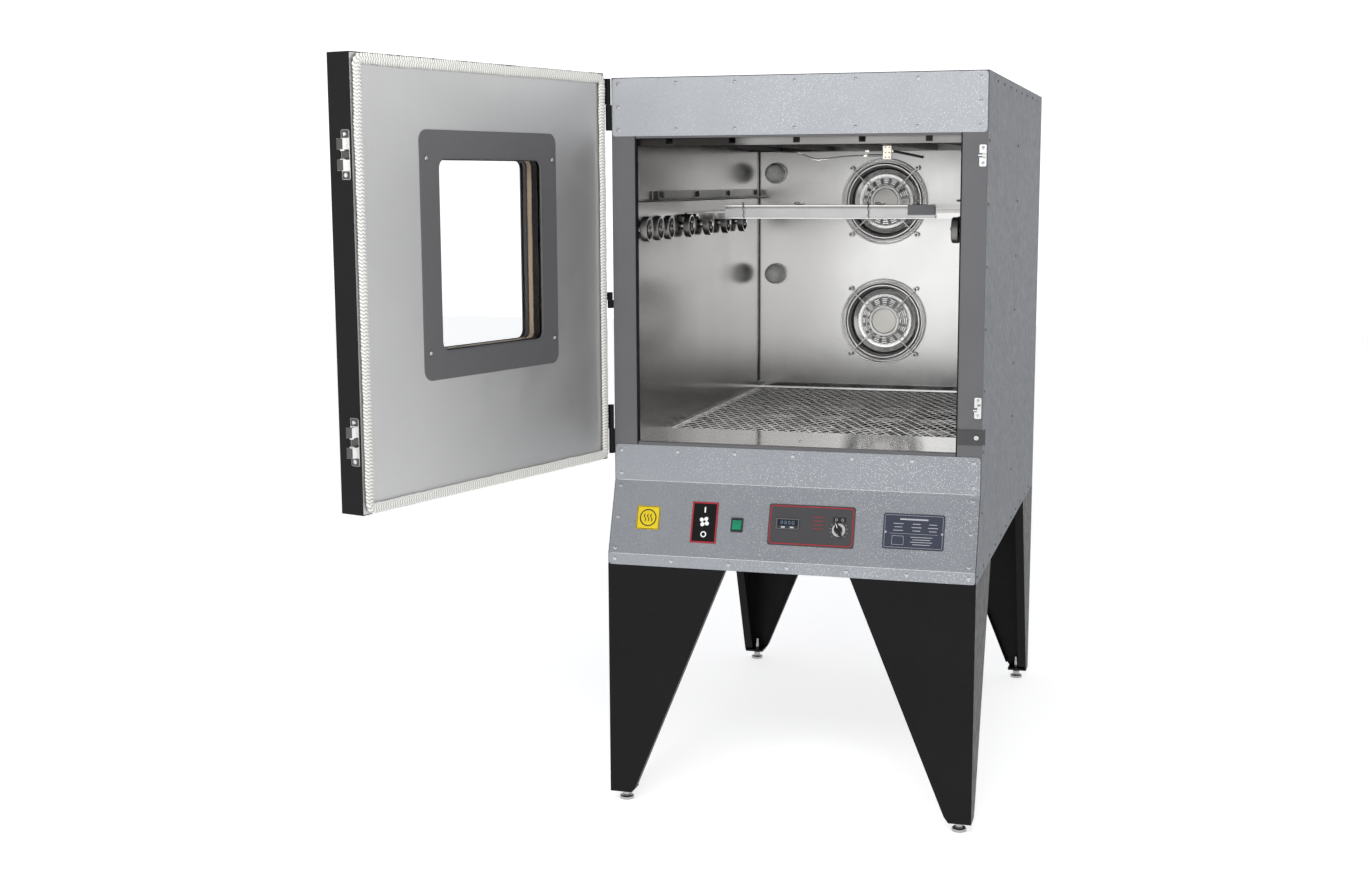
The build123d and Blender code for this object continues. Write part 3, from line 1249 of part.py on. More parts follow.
# A spear strike at each catch: it passes between the plungers and they close behind its head
STRIKE_X = LEFT + 826.5
SPEAR_LENGTH = 41.0
with BuildPart() as strikes:
    for height in CATCH_HEIGHTS:
        with BuildSketch(front_plane(FRONT)):
            with Locations((STRIKE_X + 1, height)):
                RectangleRounded(15, 46, 3)
        extrude(amount=SKIN)
        with BuildSketch(Plane.YZ.offset(STRIKE_X - 4)):
            spear = [
                (FRONT - SKIN, height - 2.5),
                (FRONT - 31, height - 2.5),
                (FRONT - 33, height - 4.6),
                (FRONT - SPEAR_LENGTH, height - 1.5),
                (FRONT - SPEAR_LENGTH, height + 1.5),
                (FRONT - 33, height + 4.6),
                (FRONT - 31, height + 2.5),
                (FRONT - SKIN, height + 2.5),
            ]
            Polygon(*spear, align=None)
        extrude(amount=8)
        with BuildSketch(front_plane(FRONT - SKIN)):
            with Locations((STRIKE_X + 1.5, height + 16), (STRIKE_X + 1.5, height - 16)):
                Circle(3.4)
        extrude(amount=1.6, taper=25)
strikes.part.label = "strikes"
export_step(strikes.part, "parts/strikes.step")

with BuildPart() as corner_plate:
    with BuildSketch(front_plane(FRONT)):
        with Locations(((OPENING_RIGHT + RIGHT + 7) / 2, 881)):
            Rectangle(RIGHT + 7 - OPENING_RIGHT, 32)
    extrude(amount=3)
    with BuildSketch(Plane.YZ.offset(RIGHT + 4)):
        with Locations((FRONT + 9, 881)):
            Rectangle(18, 32)
    extrude(amount=3)
    with BuildSketch(front_plane(FRONT - 3)):
        with Locations((RIGHT - 12, 881)):
            Circle(5.5)
    extrude(amount=2, taper=25)
corner_plate.part.label = "corner_plate"
export_step(corner_plate.part, "parts/corner_plate.step")
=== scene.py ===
import math

import bmesh
import bpy
from mathutils import Matrix, Vector, noise


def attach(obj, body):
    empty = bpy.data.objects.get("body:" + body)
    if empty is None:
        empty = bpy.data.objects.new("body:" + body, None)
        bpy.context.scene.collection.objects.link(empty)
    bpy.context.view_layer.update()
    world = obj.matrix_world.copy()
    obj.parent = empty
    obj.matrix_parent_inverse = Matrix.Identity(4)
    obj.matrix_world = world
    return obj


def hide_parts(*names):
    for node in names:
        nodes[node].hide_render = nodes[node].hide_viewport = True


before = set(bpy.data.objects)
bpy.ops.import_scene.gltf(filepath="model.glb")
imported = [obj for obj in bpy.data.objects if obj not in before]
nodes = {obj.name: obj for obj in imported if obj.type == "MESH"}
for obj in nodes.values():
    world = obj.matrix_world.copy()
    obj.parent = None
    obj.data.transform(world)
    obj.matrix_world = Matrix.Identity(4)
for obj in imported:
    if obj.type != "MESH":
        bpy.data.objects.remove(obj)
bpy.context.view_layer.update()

# ---- The object's main dimensions, in millimetres of the row frame ----
WIDTH = 838.0
LEFT, FRONT = -30.0, 28.0
RIGHT, BACK = LEFT + WIDTH, FRONT + 1270.0
MIDDLE = LEFT + WIDTH / 2
OPENING_LEFT, OPENING_RIGHT = MIDDLE - 365.0, MIDDLE + 365.0
WALLS = ((OPENING_LEFT, 1), (OPENING_RIGHT, -1))
CHAMBER_BACK = FRONT + 1158.7
FOLD_HIGH, FOLD_LOW, NOSE, SKIN = 755.0, 593.0, 58.0, 1.5
TILT = math.atan2(NOSE - SKIN, FOLD_HIGH - FOLD_LOW)
DOOR_ANGLE = math.radians(-105.8)
DOOR_X, DOOR_Y = math.cos(DOOR_ANGLE), math.sin(DOOR_ANGLE)
HINGE_X, HINGE_Y = LEFT - 6.0, FRONT - 6.0
DOOR_WIDTH, DOOR_LOW, DOOR_HIGH, DOOR_THICKNESS = 820.0, 803.0, 1672.0, 54.0
DOOR_MIDDLE, DOOR_HEIGHT = (DOOR_LOW + DOOR_HIGH) / 2, DOOR_HIGH - DOOR_LOW
GASKET_WIDTH, GASKET_HEIGHT = DOOR_WIDTH - 29.6, DOOR_HEIGHT - 23.6
WINDOW_CENTRE, WINDOW_MIDDLE = 408.0, 1288.5
CATCH_HEIGHTS, CATCH_DEPTH = (945.0, 1484.0), 12.0
RAIL_Z, ROLLER_Z = 1389.0, 1326.0
ROLLER_YS = [FRONT + 34.0 + 87.0 * step for step in (0, 1, 2, 4, 6, 8, 10)]
FAN_HEIGHTS = (1376.0, 1037.5)
LAMP_X, LAMP_HEIGHTS = LEFT + 105.3, (1456.0, 1170.0)
MESH_TOP, STRAND_WIDTH, STRAND_THICKNESS = 840.0, 1.8, 1.7

# Places on the control slope: from the cabinet's left, and down from the upper fold
HEAT_LABEL, SWITCH_PLATE, ROCKER = (88.5, 86.5), (222.0, 91.0), (298.5, 93.0)
CONTROLLER, SELECTOR, DATA_PLATE = (468.5, 86.5), (531.0, 93.0), (697.0, 88.0)
TIMER_X, TIMER_DOWN, TIMER_FACE = 415.0, 82.0, 3.5
PLATE, PRINT = 1.0, 0.12


def turned_matrix(rows, spot):
    """A turn, given by its rows, and a place."""
    m = Matrix(rows).to_4x4()
    m.translation = Vector(spot)
    return m


def slope_matrix(x, down, out=0.0):
    """Local X across, Y up the control slope and Z out of it; x in mm from the cabinet's left."""
    normal = Vector((0, -math.cos(TILT), math.sin(TILT)))
    up = Vector((0, math.sin(TILT), math.cos(TILT)))
    spot = Vector((LEFT + x, FRONT - SKIN, FOLD_HIGH)) - up * down + normal * out
    m = Matrix((Vector((1, 0, 0)), up, normal)).transposed().to_4x4()
    m.translation = spot
    return m


def door_matrix(across=0.0, z=0.0, depth=0.0):
    """Local X across the door from its hinge side, Y up, Z outwards from the inner face."""
    u, v = 4.7 + across, -(9.0 + depth)
    x = HINGE_X + u * DOOR_X - v * DOOR_Y
    y = HINGE_Y + u * DOOR_Y + v * DOOR_X
    return turned_matrix(((DOOR_X, 0, DOOR_Y), (DOOR_Y, 0, -DOOR_X), (0, 1, 0)), (x, y, z))


def wall_matrix(x, y, z):
    """Local X across, Y up, Z towards the viewer."""
    return turned_matrix(((1, 0, 0), (0, 0, -1), (0, 1, 0)), (x, y, z))


def side_matrix(x, y, z, sign=1):
    """Local Z along the row's X, or against it for sign -1, so that a lathe turns about it."""
    return turned_matrix(((0, 0, sign), (sign, 0, 0), (0, 1, 0)), (x, y, z))


def place_matrix(x, y, z):
    return Matrix.Translation(Vector((x, y, z)))


# ================= Materials =================


class Mat:
    """A small helper that builds one procedural material in object space, in metres."""

    def __init__(self, name):
        self.m = bpy.data.materials.new(name)
        self.m.use_nodes = True
        self.t = self.m.node_tree
        self.b = self.t.nodes["Principled BSDF"]
        self.pos = self.t.nodes.new("ShaderNodeTexCoord").outputs["Object"]

    def node(self, kind, **settings):
        n = self.t.nodes.new(kind)
        for key, value in settings.items():
            setattr(n, key, value)
        return n

    def give(self, socket, value):
        """A number, a colour or a link for one socket."""
        if isinstance(value, bpy.types.NodeSocket):
            self.t.links.new(value, socket)
        else:
            socket.default_value = (*value, 1) if socket.type == "RGBA" else value

    def fill(self, n, **values):
        """Values for several sockets of a node; _ stands for a space in their names."""
        for key, value in values.items():
            self.give(n.inputs[key.replace("_", " ")], value)
        return n

    def put(self, **values):
        """Values for the surface shader."""
        self.fill(self.b, **values)

    def axis(self, letter):
        """One coordinate of the surface point."""
        return self.fill(self.node("ShaderNodeSeparateXYZ"), Vector=self.pos).outputs[letter]

    def noise(self, scale, detail=3.0, rough=0.55, stretch=None):
        place = self.pos
        if stretch:
            place = self.fill(self.node("ShaderNodeMapping"), Vector=place, Scale=stretch).outputs["Vector"]
        n = self.node("ShaderNodeTexNoise")
        return self.fill(n, Vector=place, Scale=scale, Detail=detail, Roughness=rough).outputs["Fac"]

    def cells(self, scale):
        return self.fill(self.node("ShaderNodeTexVoronoi"), Vector=self.pos, Scale=scale).outputs["Distance"]

    def ramp(self, fac, stops):
        n = self.fill(self.node("ShaderNodeValToRGB"), Fac=fac)
        e = n.color_ramp.elements
        while len(e) < len(stops):
            e.new(0.5)
        for slot, (place, colour) in zip(e, stops):
            slot.position = place
            slot.color = (*colour, 1)
        return n.outputs["Color"]

    def tone(self, fac, dark, light):
        """Drifts from one colour to another with a noise."""
        return self.ramp(fac, [(0.3, dark), (0.7, light)])

    def span(self, fac, low, high, start=0.0, end=1.0):
        n = self.node("ShaderNodeMapRange")
        self.fill(n, Value=fac, From_Min=start, From_Max=end, To_Min=low, To_Max=high)
        return n.outputs["Result"]

    def math(self, kind, a, b):
        n = self.node("ShaderNodeMath", operation=kind)
        self.give(n.inputs[0], a)
        self.give(n.inputs[1], b)
        return n.outputs["Value"]

    def mix(self, fac, a, b):
        n = self.node("ShaderNodeMix", data_type="RGBA")
        self.give(n.inputs["Factor"], fac)
        self.give(n.inputs[6], a)
        self.give(n.inputs[7], b)
        return n.outputs[2]

    def bump(self, height, strength, distance, radius=0.0):
        n = self.fill(self.node("ShaderNodeBump"), Strength=strength, Distance=distance, Height=height)
        if radius:
            bevel = self.fill(self.node("ShaderNodeBevel", samples=4), Radius=radius)
            self.fill(n, Normal=bevel.outputs["Normal"])
        self.put(Normal=n.outputs["Normal"])


def shades(colour, vary):
    """A slightly darker and a slightly lighter version of a colour."""
    return [tuple(min(1, c * (1 + step)) for c in colour) for step in (-vary, vary)]


def paint(name, colour, rough=0.42, vary=0.08, grain=900.0, depth=0.00012, spec=0.5):
    """Powder coat: fine orange-peel texture, faint cloudiness and rubbed edges."""
    m = Mat(name)
    m.put(Base_Color=m.tone(m.noise(4.0, 4, 0.6), *shades(colour, vary)), Specular_IOR_Level=spec)
    m.put(Roughness=m.span(m.noise(60.0, 2), rough - 0.05, rough + 0.07, 0.3, 0.7))
    m.bump(m.noise(grain, 3, 0.6), 0.5, depth, 0.0008)
    return m.m


def metal(name, colour, rough, brush=(1, 1, 1), scale=300.0, depth=0.00004, vary=0.06, smudge=0.06,
          metallic=1.0):
    """Bare metal: directional brushing, smudges in its gloss, and softly worn edges."""
    m = Mat(name)
    m.put(Base_Color=m.tone(m.noise(3.2, 3, 0.6), *shades(colour, vary)), Metallic=metallic)
    lines = m.noise(scale, 4, 0.6, stretch=brush)
    gloss = m.span(lines, rough - 0.04, rough + 0.05, 0.25, 0.75)
    m.put(Roughness=m.math("ADD", gloss, m.span(m.noise(9.0, 4, 0.65), -smudge, smudge, 0.3, 0.7)))
    m.bump(lines, 0.5, depth, 0.0005)
    return m.m


def plastic(name, colour, rough=0.45, vary=0.05, edge=0.0006, depth=0.00005, coat=0.0, spec=0.4):
    """Moulded or printed surface with a fine skin texture."""
    m = Mat(name)
    m.put(Base_Color=m.tone(m.noise(30.0, 3), *shades(colour, vary)))
    m.put(Coat_Weight=coat, Specular_IOR_Level=spec)
    m.put(Roughness=m.span(m.noise(250.0, 3), rough - 0.06, rough + 0.06, 0.3, 0.7))
    m.bump(m.noise(1400.0, 3), 0.4, depth, edge)
    return m.m


def sparkle_coat():
    """The fascias' grey coat: a hammered skin of small flat-lying flakes, drawn as pale dots of painted
    highlight, and painted shade on the lower fascia.
    """
    m = Mat("sparkle_grey")
    cloud = m.noise(5.0, 4, 0.6)
    upper = m.tone(cloud, (0.37, 0.385, 0.41), (0.41, 0.425, 0.45))
    lower = m.tone(cloud, (0.262, 0.276, 0.298), (0.292, 0.306, 0.328))
    # painted shade: below 0.9 m the coat fades to the darker lower tone, above 1.4 m it has the lighter upper
    # tone
    base = m.mix(m.span(m.axis("Z"), 0.0, 1.0, 0.9, 1.4), lower, upper)
    # painted highlights: small pale dots that stand for flakes catching the light
    painted_glint = m.ramp(m.cells(330.0), [(0.0, (1, 1, 1)), (0.24, (0, 0, 0))])
    base = m.mix(m.math("MULTIPLY", painted_glint, 0.6), base, (0.74, 0.76, 0.78))
    # more painted highlights: larger white dots in noisy patches, denser towards the right
    painted_speck = m.ramp(m.cells(270.0), [(0.0, (1, 1, 1)), (0.15, (1, 1, 1)), (0.23, (0, 0, 0))])
    across = m.span(m.axis("X"), 0.25, 1.0, 0.0, 0.5)
    patch = m.math("MULTIPLY", m.span(m.noise(7.0, 3), 0.45, 1.0, 0.40, 0.62), across)
    base = m.mix(m.math("MULTIPLY", painted_speck, patch), base, (0.97, 0.98, 1.0))
    m.put(Base_Color=base, Metallic=0.4, Coat_Weight=0.25, Coat_Roughness=0.18)
    m.put(Roughness=m.span(m.noise(150.0, 4, 0.7), 0.26, 0.46, 0.3, 0.7))
    coarse, fine = m.math("MULTIPLY", m.noise(260.0, 3, 0.6), 0.9), m.math("MULTIPLY", m.noise(900.0, 2), 0.3)
    m.bump(m.math("ADD", coarse, fine), 0.8, 0.0007, 0.0012)
    return m.m


def mineral_wool():
    """Dull fibre: fine threads, pale over dark."""
    m = Mat("mineral_wool")
    threads = m.noise(220.0, 3, 0.7)
    m.put(Base_Color=m.mix(m.span(threads, 0.0, 1.0, 0.35, 0.65), (0.30, 0.26, 0.16), (0.52, 0.46, 0.30)))
    m.put(Roughness=m.span(m.noise(40.0), 0.80, 0.93), Sheen_Weight=0.25, Sheen_Roughness=0.5)
    m.bump(threads, 0.7, 0.0004)
    return m.m


def rope(name, light, crevice_shade, scale=1500.0):
    """Braided glass fibre: pale strands with painted shade between them where the stitches dip, and a fine
    twist of threads.
    """
    m = Mat(name)
    hollow = m.node("ShaderNodeAttribute", attribute_name="hollow").outputs["Fac"]
    threads = m.noise(scale, 3, 0.7)
    tone = m.mix(m.span(threads, 0.0, 0.35, 0.35, 0.7), light, crevice_shade)
    # painted shade: the dark colour fills the hollows between the stitches
    m.put(Base_Color=m.mix(hollow, tone, crevice_shade))
    m.put(Roughness=m.span(m.noise(40.0), 0.8, 0.92), Sheen_Weight=0.2, Sheen_Roughness=0.5)
    m.bump(threads, 0.6, 0.0004)
    return m.m


def clear_glass():
    """Window glass, almost without bending, a little smeared."""
    m = Mat("window_glass")
    m.put(Base_Color=m.tone(m.noise(2.0), (0.985, 0.99, 0.99), (0.995, 1.0, 0.998)))
    m.put(Roughness=m.span(m.noise(14.0, 4), 0.0, 0.03, 0.4, 0.7), Transmission_Weight=1.0, IOR=1.14)
    m.bump(m.noise(3.0, 1), 0.05, 0.0002)
    return m.m


def globe_glass():
    """The lamps' thick pressed glass, milky with heat."""
    m = Mat("lamp_glass")
    m.put(Base_Color=m.tone(m.noise(20.0), (0.27, 0.27, 0.26), (0.33, 0.33, 0.32)))
    m.put(Roughness=m.span(m.noise(60.0), 0.22, 0.34), Coat_Weight=0.5, Coat_Roughness=0.1)
    m.bump(m.noise(180.0), 0.2, 0.0002, 0.001)
    return m.m


def chamber_plate():
    """Liner steel with a fine upright brushing; the back plate gets a much brighter colour than the side
    plates, a painted reflection of the front light.
    """
    m = Mat("chamber_steel")
    back = m.span(m.axis("Y"), 0.0, 1.0, 1.180, 1.185)
    cloud = m.noise(3.2, 3, 0.6)
    sides = m.tone(cloud, (0.46, 0.452, 0.44), (0.50, 0.492, 0.48))
    # painted reflection: the back plate's tone is much brighter than the side plates' tone, for the front
    # light it mirrors
    rear_lit_tone = m.tone(cloud, (0.84, 0.835, 0.825), (0.87, 0.865, 0.855))
    m.put(Base_Color=m.mix(back, sides, rear_lit_tone), Metallic=1.0)
    lines = m.noise(300.0, 4, 0.6, stretch=(1, 1, 0.02))
    smudge = m.span(m.noise(7.0, 4, 0.65), -0.02, 0.03, 0.3, 0.7)
    gloss = m.math("ADD", m.span(lines, 0.17, 0.22, 0.25, 0.75), smudge)
    m.put(Roughness=m.math("ADD", gloss, m.math("MULTIPLY", back, 0.03)))
    oil_can = m.math("MULTIPLY", m.noise(2.6, 1, 0.4, stretch=(1, 1, 1.6)), 110.0)
    m.bump(m.math("ADD", lines, oil_can), 0.3, 0.000006, 0.0005)
    return m.m


def rack_steel():
    """Rack rails: steel, much darker towards the hinge side."""
    m = Mat("rack_steel")
    near = m.math("ADD", m.axis("X"), m.math("MULTIPLY", m.noise(14.0, 3), 0.08))
    tone = m.tone(m.noise(5.0, 4, 0.65), (0.30, 0.295, 0.285), (0.40, 0.395, 0.385))
    # darker towards low X, nearly black at the hinge side
    m.put(Base_Color=m.mix(m.span(near, 0.0, 1.0, 0.27, 0.34), (0.045, 0.042, 0.040), tone), Metallic=1.0)
    lines = m.noise(200.0, 4, 0.6, stretch=(0.05, 1, 1))
    m.put(Roughness=m.span(lines, 0.34, 0.46, 0.3, 0.7))
    m.bump(lines, 0.4, 0.00003, 0.0005)
    return m.m


M = {
    "sparkle": sparkle_coat(),
    "chamber": chamber_plate(),
    "rack": rack_steel(),
    "glass": clear_glass(),
    "globe": globe_glass(),
    "wool": mineral_wool(),
    "seal": rope("seal_tan", (0.62, 0.50, 0.36), (0.22, 0.14, 0.08), 900.0),
    "gasket": rope("gasket_braid", (0.86, 0.855, 0.82), (0.30, 0.295, 0.275)),
    "side": paint("cabinet_grey", (0.112, 0.122, 0.138), 0.46, 0.05, 700.0, 0.0001, 0.16),
    "black": paint("black_powder", (0.0055, 0.0055, 0.006), 0.42, 0.15, 650.0, spec=0.14),
    "charcoal": paint("charcoal_texture", (0.105, 0.104, 0.108), 0.5, 0.06, 1100.0, 0.00022),
    "trim": paint("window_trim_coat", (0.095, 0.094, 0.098), 0.46, 0.05, 1300.0, 0.0001),
    "edge_black": paint("door_edge_coat", (0.0045, 0.0045, 0.005), 0.36, 0.1, 500.0, 0.00006, 0.18),
    "plate_dark": paint("corner_plate_coat", (0.045, 0.045, 0.047), 0.45),
    "seam": paint("seam_shadow", (0.012, 0.012, 0.012), 0.6, spec=0.1),
    "motor": paint("motor_paint", (0.05, 0.05, 0.055), 0.5),
    "corner": metal("corner_bead_steel", (0.86, 0.86, 0.85), 0.12, (1, 1, 0.05), depth=0.00002),
    "rail": metal("rail_steel", (0.34, 0.335, 0.325), 0.36, (1, 0.08, 1), 240.0, 0.00003),
    # dark steel for the venturi: painted shade for the depth of the funnel
    "venturi": metal("venturi_shaded_steel", (0.28, 0.275, 0.27), 0.16, scale=160.0, depth=0.00003, metallic=0.8),
    "basket": metal("basket_steel", (0.66, 0.655, 0.65), 0.18, (1, 1, 1), 260.0, 0.00002, 0.1, metallic=0.8),
    "bar_face": metal("bar_face_steel", (0.74, 0.74, 0.735), 0.46, (0.04, 1, 1), vary=0.04),
    "clip": metal("clip_steel", (0.30, 0.29, 0.28), 0.24),
    # dark steel for the catches' thin plates: painted shade
    "catch_shade": metal("catch_shade_steel", (0.13, 0.125, 0.12), 0.38, (1, 1, 0.1)),
    "trim_steel": metal("trim_steel", (0.78, 0.775, 0.77), 0.12, (0.04, 1, 1), depth=0.000002, smudge=0.02),
    "bright": metal("polished_steel", (0.90, 0.90, 0.89), 0.12, scale=120.0, depth=0.00001, smudge=0.03),
    "liner": metal("door_liner_steel", (0.71, 0.71, 0.705), 0.52, (1, 1, 0.03), 320.0, vary=0.03,
                   smudge=0.03),
    "mesh": metal("mesh_steel", (0.50, 0.49, 0.475), 0.28, metallic=0.45),
    "wire": metal("guard_wire", (0.90, 0.895, 0.88), 0.18, metallic=0.6),
    "dish": metal("dish_steel", (0.88, 0.875, 0.865), 0.14, scale=160.0, depth=0.00001, smudge=0.03,
                  metallic=0.86),
    "screw": metal("screw_steel", (0.72, 0.72, 0.73), 0.18, scale=400.0, smudge=0.03),
    "screw_dark": metal("screw_dark", (0.16, 0.165, 0.175), 0.35, scale=400.0),
    "roller": metal("roller_steel", (0.22, 0.215, 0.21), 0.38, depth=0.00001, vary=0.12, smudge=0.03),
    "hub": metal("hub_steel", (0.80, 0.79, 0.77), 0.16),
    "glide": metal("glide_chrome", (0.42, 0.42, 0.41), 0.16, vary=0.15),
    "cap": plastic("hub_cap_enamel", (0.60, 0.585, 0.55), 0.35, spec=0.3),
    "ceramic": plastic("emitter_ceramic", (0.012, 0.0115, 0.011), 0.22, 0.3, 0.001, 0.0001, 0.3),
    "porcelain": plastic("porcelain", (0.46, 0.43, 0.37), 0.35, 0.1),
    "knob": plastic("knob_black", (0.014, 0.014, 0.015), 0.35),
    "device": plastic("device_grey", (0.13, 0.135, 0.14), 0.42),
    "bezel": plastic("bezel_dark", (0.035, 0.036, 0.038), 0.4),
    "dial": plastic("dial_grey", (0.52, 0.52, 0.51), 0.4),
    "overlay": plastic("overlay_charcoal", (0.062, 0.060, 0.063), 0.42, 0.04, spec=0.2),
    "switch_black": plastic("overlay_black", (0.008, 0.0075, 0.008), 0.4, spec=0.18),
    "navy": plastic("data_plate_navy", (0.045, 0.050, 0.072), 0.38, spec=0.2),
    "silver_ink": plastic("ink_silver", (0.42, 0.43, 0.46), 0.35),
    "red_ink": plastic("ink_red", (0.36, 0.022, 0.030), 0.4),
    "white_ink": plastic("ink_white", (0.80, 0.80, 0.80), 0.4),
    "black_ink": plastic("ink_black", (0.015, 0.015, 0.015), 0.4),
    "yellow": plastic("label_yellow", (0.66, 0.50, 0.020), 0.42, 0.04, spec=0.25),
    "rocker": plastic("rocker_green", (0.010, 0.235, 0.120), 0.16, 0.1, 0.0008, 0.00003, 0.6),
    "display": plastic("display_blue", (0.014, 0.019, 0.026), 0.14, 0.1, 0.0002, 0.00001, 0.25, 0.25),
    "segments": plastic("display_segments", (0.24, 0.30, 0.36), 0.3),
    "key": plastic("key_silver", (0.45, 0.46, 0.48), 0.32),
    "seal_grey": plastic("seal_grey", (0.075, 0.070, 0.068), 0.6),
}

# The materials of the CAD nodes
COATS = {
    "side": ["side_panels", "back_panel"],
    "black": ["top_cover", "base_pan", "cabinet_hinge_leaves", "door_hinge_leaves", "legs"],
    "charcoal": ["front_frame"],
    "sparkle": ["upper_fascia", "lower_fascia"],
    "chamber": ["chamber_liner"],
    "wool": ["insulation", "door_insulation"],
    "rack": ["heater_racks"],
    "ceramic": ["heater_elements"],
    "trim_steel": ["floor_trims", "carrier_frame", "carrier_bar"],
    "rail": ["sheet_rails"],
    "bright": ["fan_inlets"],
    "motor": ["fan_motors"],
    "porcelain": ["temperature_probe"],
    "corner": ["strikes", "catch_bodies"],
    "plate_dark": ["corner_plate"],
    "overlay": ["panel_plates"],
    "bezel": ["panel_devices"],
    "knob": ["cable_gland", "selector_knob", "door_handle"],
    "rocker": ["power_rocker"],
    "key": ["timer_key_left", "timer_key_right"],
    "glide": [f"foot_{end}_{side}" for end in ("front", "back") for side in ("left", "right")],
    "hub": ["roller_axles"]
    + [f"catch_plunger_{which}_{end}" for which in ("lower", "upper") for end in ("top", "bottom")],
    "edge_black": ["door_shell"],
    "liner": ["door_liner"],
    "glass": ["window_panes"],
    "trim": ["window_trims"],
}
for key, names in COATS.items():
    for name in names:
        mesh = nodes[name].data
        if not mesh.materials:
            mesh.materials.append(M[key])
        for index in range(len(mesh.materials)):
            mesh.materials[index] = M[key]

# ================= Building helpers =================


def finish_mesh(name, bm, key, body, smooth=35.0):
    """Turns a bmesh in millimetres into a piece in metres that rides on a body."""
    bmesh.ops.scale(bm, vec=(0.001, 0.001, 0.001), verts=bm.verts)
    bmesh.ops.recalc_face_normals(bm, faces=bm.faces)
    mesh = bpy.data.meshes.new(name)
    bm.to_mesh(mesh)
    bm.free()
    piece = bpy.data.objects.new(name, mesh)
    bpy.context.scene.collection.objects.link(piece)
    for one in (key,) if isinstance(key, str) else key:
        mesh.materials.append(M[one])
    for face in mesh.polygons:
        face.use_smooth = True
    mesh.set_sharp_from_angle(angle=math.radians(smooth))
    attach(piece, body)
    return piece


def circle(radius, steps):
    """Points evenly round a circle."""
    turns = [2 * math.pi * k / steps for k in range(steps)]
    return [(radius * math.cos(a), radius * math.sin(a)) for a in turns]


def bridge(bm, a, b, material=0, closed=True):
    """A strip of faces between two rows of points."""
    for s in range(len(a) if closed else len(a) - 1):
        t = (s + 1) % len(a)
        bm.faces.new((a[s], a[t], b[t], b[s])).material_index = material


def loft(bm, rings, material=0, closed=False):
    """A skin over rings of points; an open run of rings gets caps on its ends."""
    for k in range(len(rings) if closed else len(rings) - 1):
        bridge(bm, rings[k], rings[(k + 1) % len(rings)], material)
    if not closed:
        bm.faces.new(rings[0][::-1]).material_index = material
        bm.faces.new(rings[-1]).material_index = material


def lathe(bm, profile, steps, m, material=0, closed=True):
    """Turns a profile of (radius, height) about local Z."""
    rings = []
    for c, s in circle(1.0, steps):
        rings.append([bm.verts.new(m @ Vector((r * c, r * s, h))) for r, h in profile])
    for k in range(steps):
        bridge(bm, rings[(k + 1) % steps], rings[k], material, closed)


def tube(bm, points, radius, sides, m=Matrix(), material=0, closed=False):
    """A round tube along points; an open one has capped ends."""
    points = [Vector(p) for p in points]
    count = len(points)
    rings = []
    side = None
    for k, p in enumerate(points):
        before = points[(k - 1) % count] if closed or k else p
        after = points[(k + 1) % count] if closed or k < count - 1 else p
        along = (after - before).normalized()
        if side is None:
            side = along.orthogonal().normalized()
        side = (side - along * side.dot(along)).normalized()
        other = along.cross(side)
        rings.append([bm.verts.new(m @ (p + side * x + other * y)) for x, y in circle(radius, sides)])
    loft(bm, rings, material, closed)


def slab(bm, outline, low, high, m=Matrix(), material=0):
    """A flat plate with that outline, between two heights."""
    loft(bm, [[bm.verts.new(m @ Vector((x, y, h))) for x, y in outline] for h in (low, high)], material)


def wall_slabs(bm, outline, low, high, y, z, material=0):
    """The same plate at both side walls of the chamber; its outline is measured inwards from the wall."""
    for wall, sign in WALLS:
        points = [(sign * across, along) for across, along in outline]
        slab(bm, points[::sign], low, high, place_matrix(wall, y, z), material)


def band(bm, outer, inner, low, high, m, material=0):
    """A closed band between two outlines with the same number of points."""
    corners = ((outer, low), (outer, high), (inner, high), (inner, low))
    rows = [[bm.verts.new(m @ Vector((x, y, h))) for x, y in line] for line, h in corners]
    loft(bm, rows, material, closed=True)


def rounded(width, height, radius, steps=6, x=0.0, y=0.0):
    """Outline of a rounded rectangle, anticlockwise."""
    reach_x, reach_y = width / 2 - radius, height / 2 - radius
    points = []
    for cx, cy, start in ((1, 1, 0), (-1, 1, 90), (-1, -1, 180), (1, -1, 270)):
        for k in range(steps + 1):
            a = math.radians(start + 90.0 * k / steps)
            points.append((x + cx * reach_x + radius * math.cos(a), y + cy * reach_y + radius * math.sin(a)))
    return points


def ring_path(width, height, radius, step):
    """Evenly spaced points round a rounded rectangle, with their outward normals."""
    raw = rounded(width, height, radius, 16)
    pts = [Vector(p) for p in raw]
    lengths = [(pts[(k + 1) % len(pts)] - pts[k]).length for k in range(len(pts))]
    total = sum(lengths)
    count = int(total / step)
    out, k, passed = [], 0, 0.0
    for i in range(count):
        want = total * i / count
        while passed + lengths[k] < want:
            passed += lengths[k]
            k = (k + 1) % len(pts)
        a, b = pts[k], pts[(k + 1) % len(pts)]
        out.append(a.lerp(b, (want - passed) / lengths[k]))
    result = []
    for i, p in enumerate(out):
        along = (out[(i + 1) % count] - out[i - 1]).normalized()
        result.append((p, Vector((along.y, -along.x)), total * i / count))
    return result, total


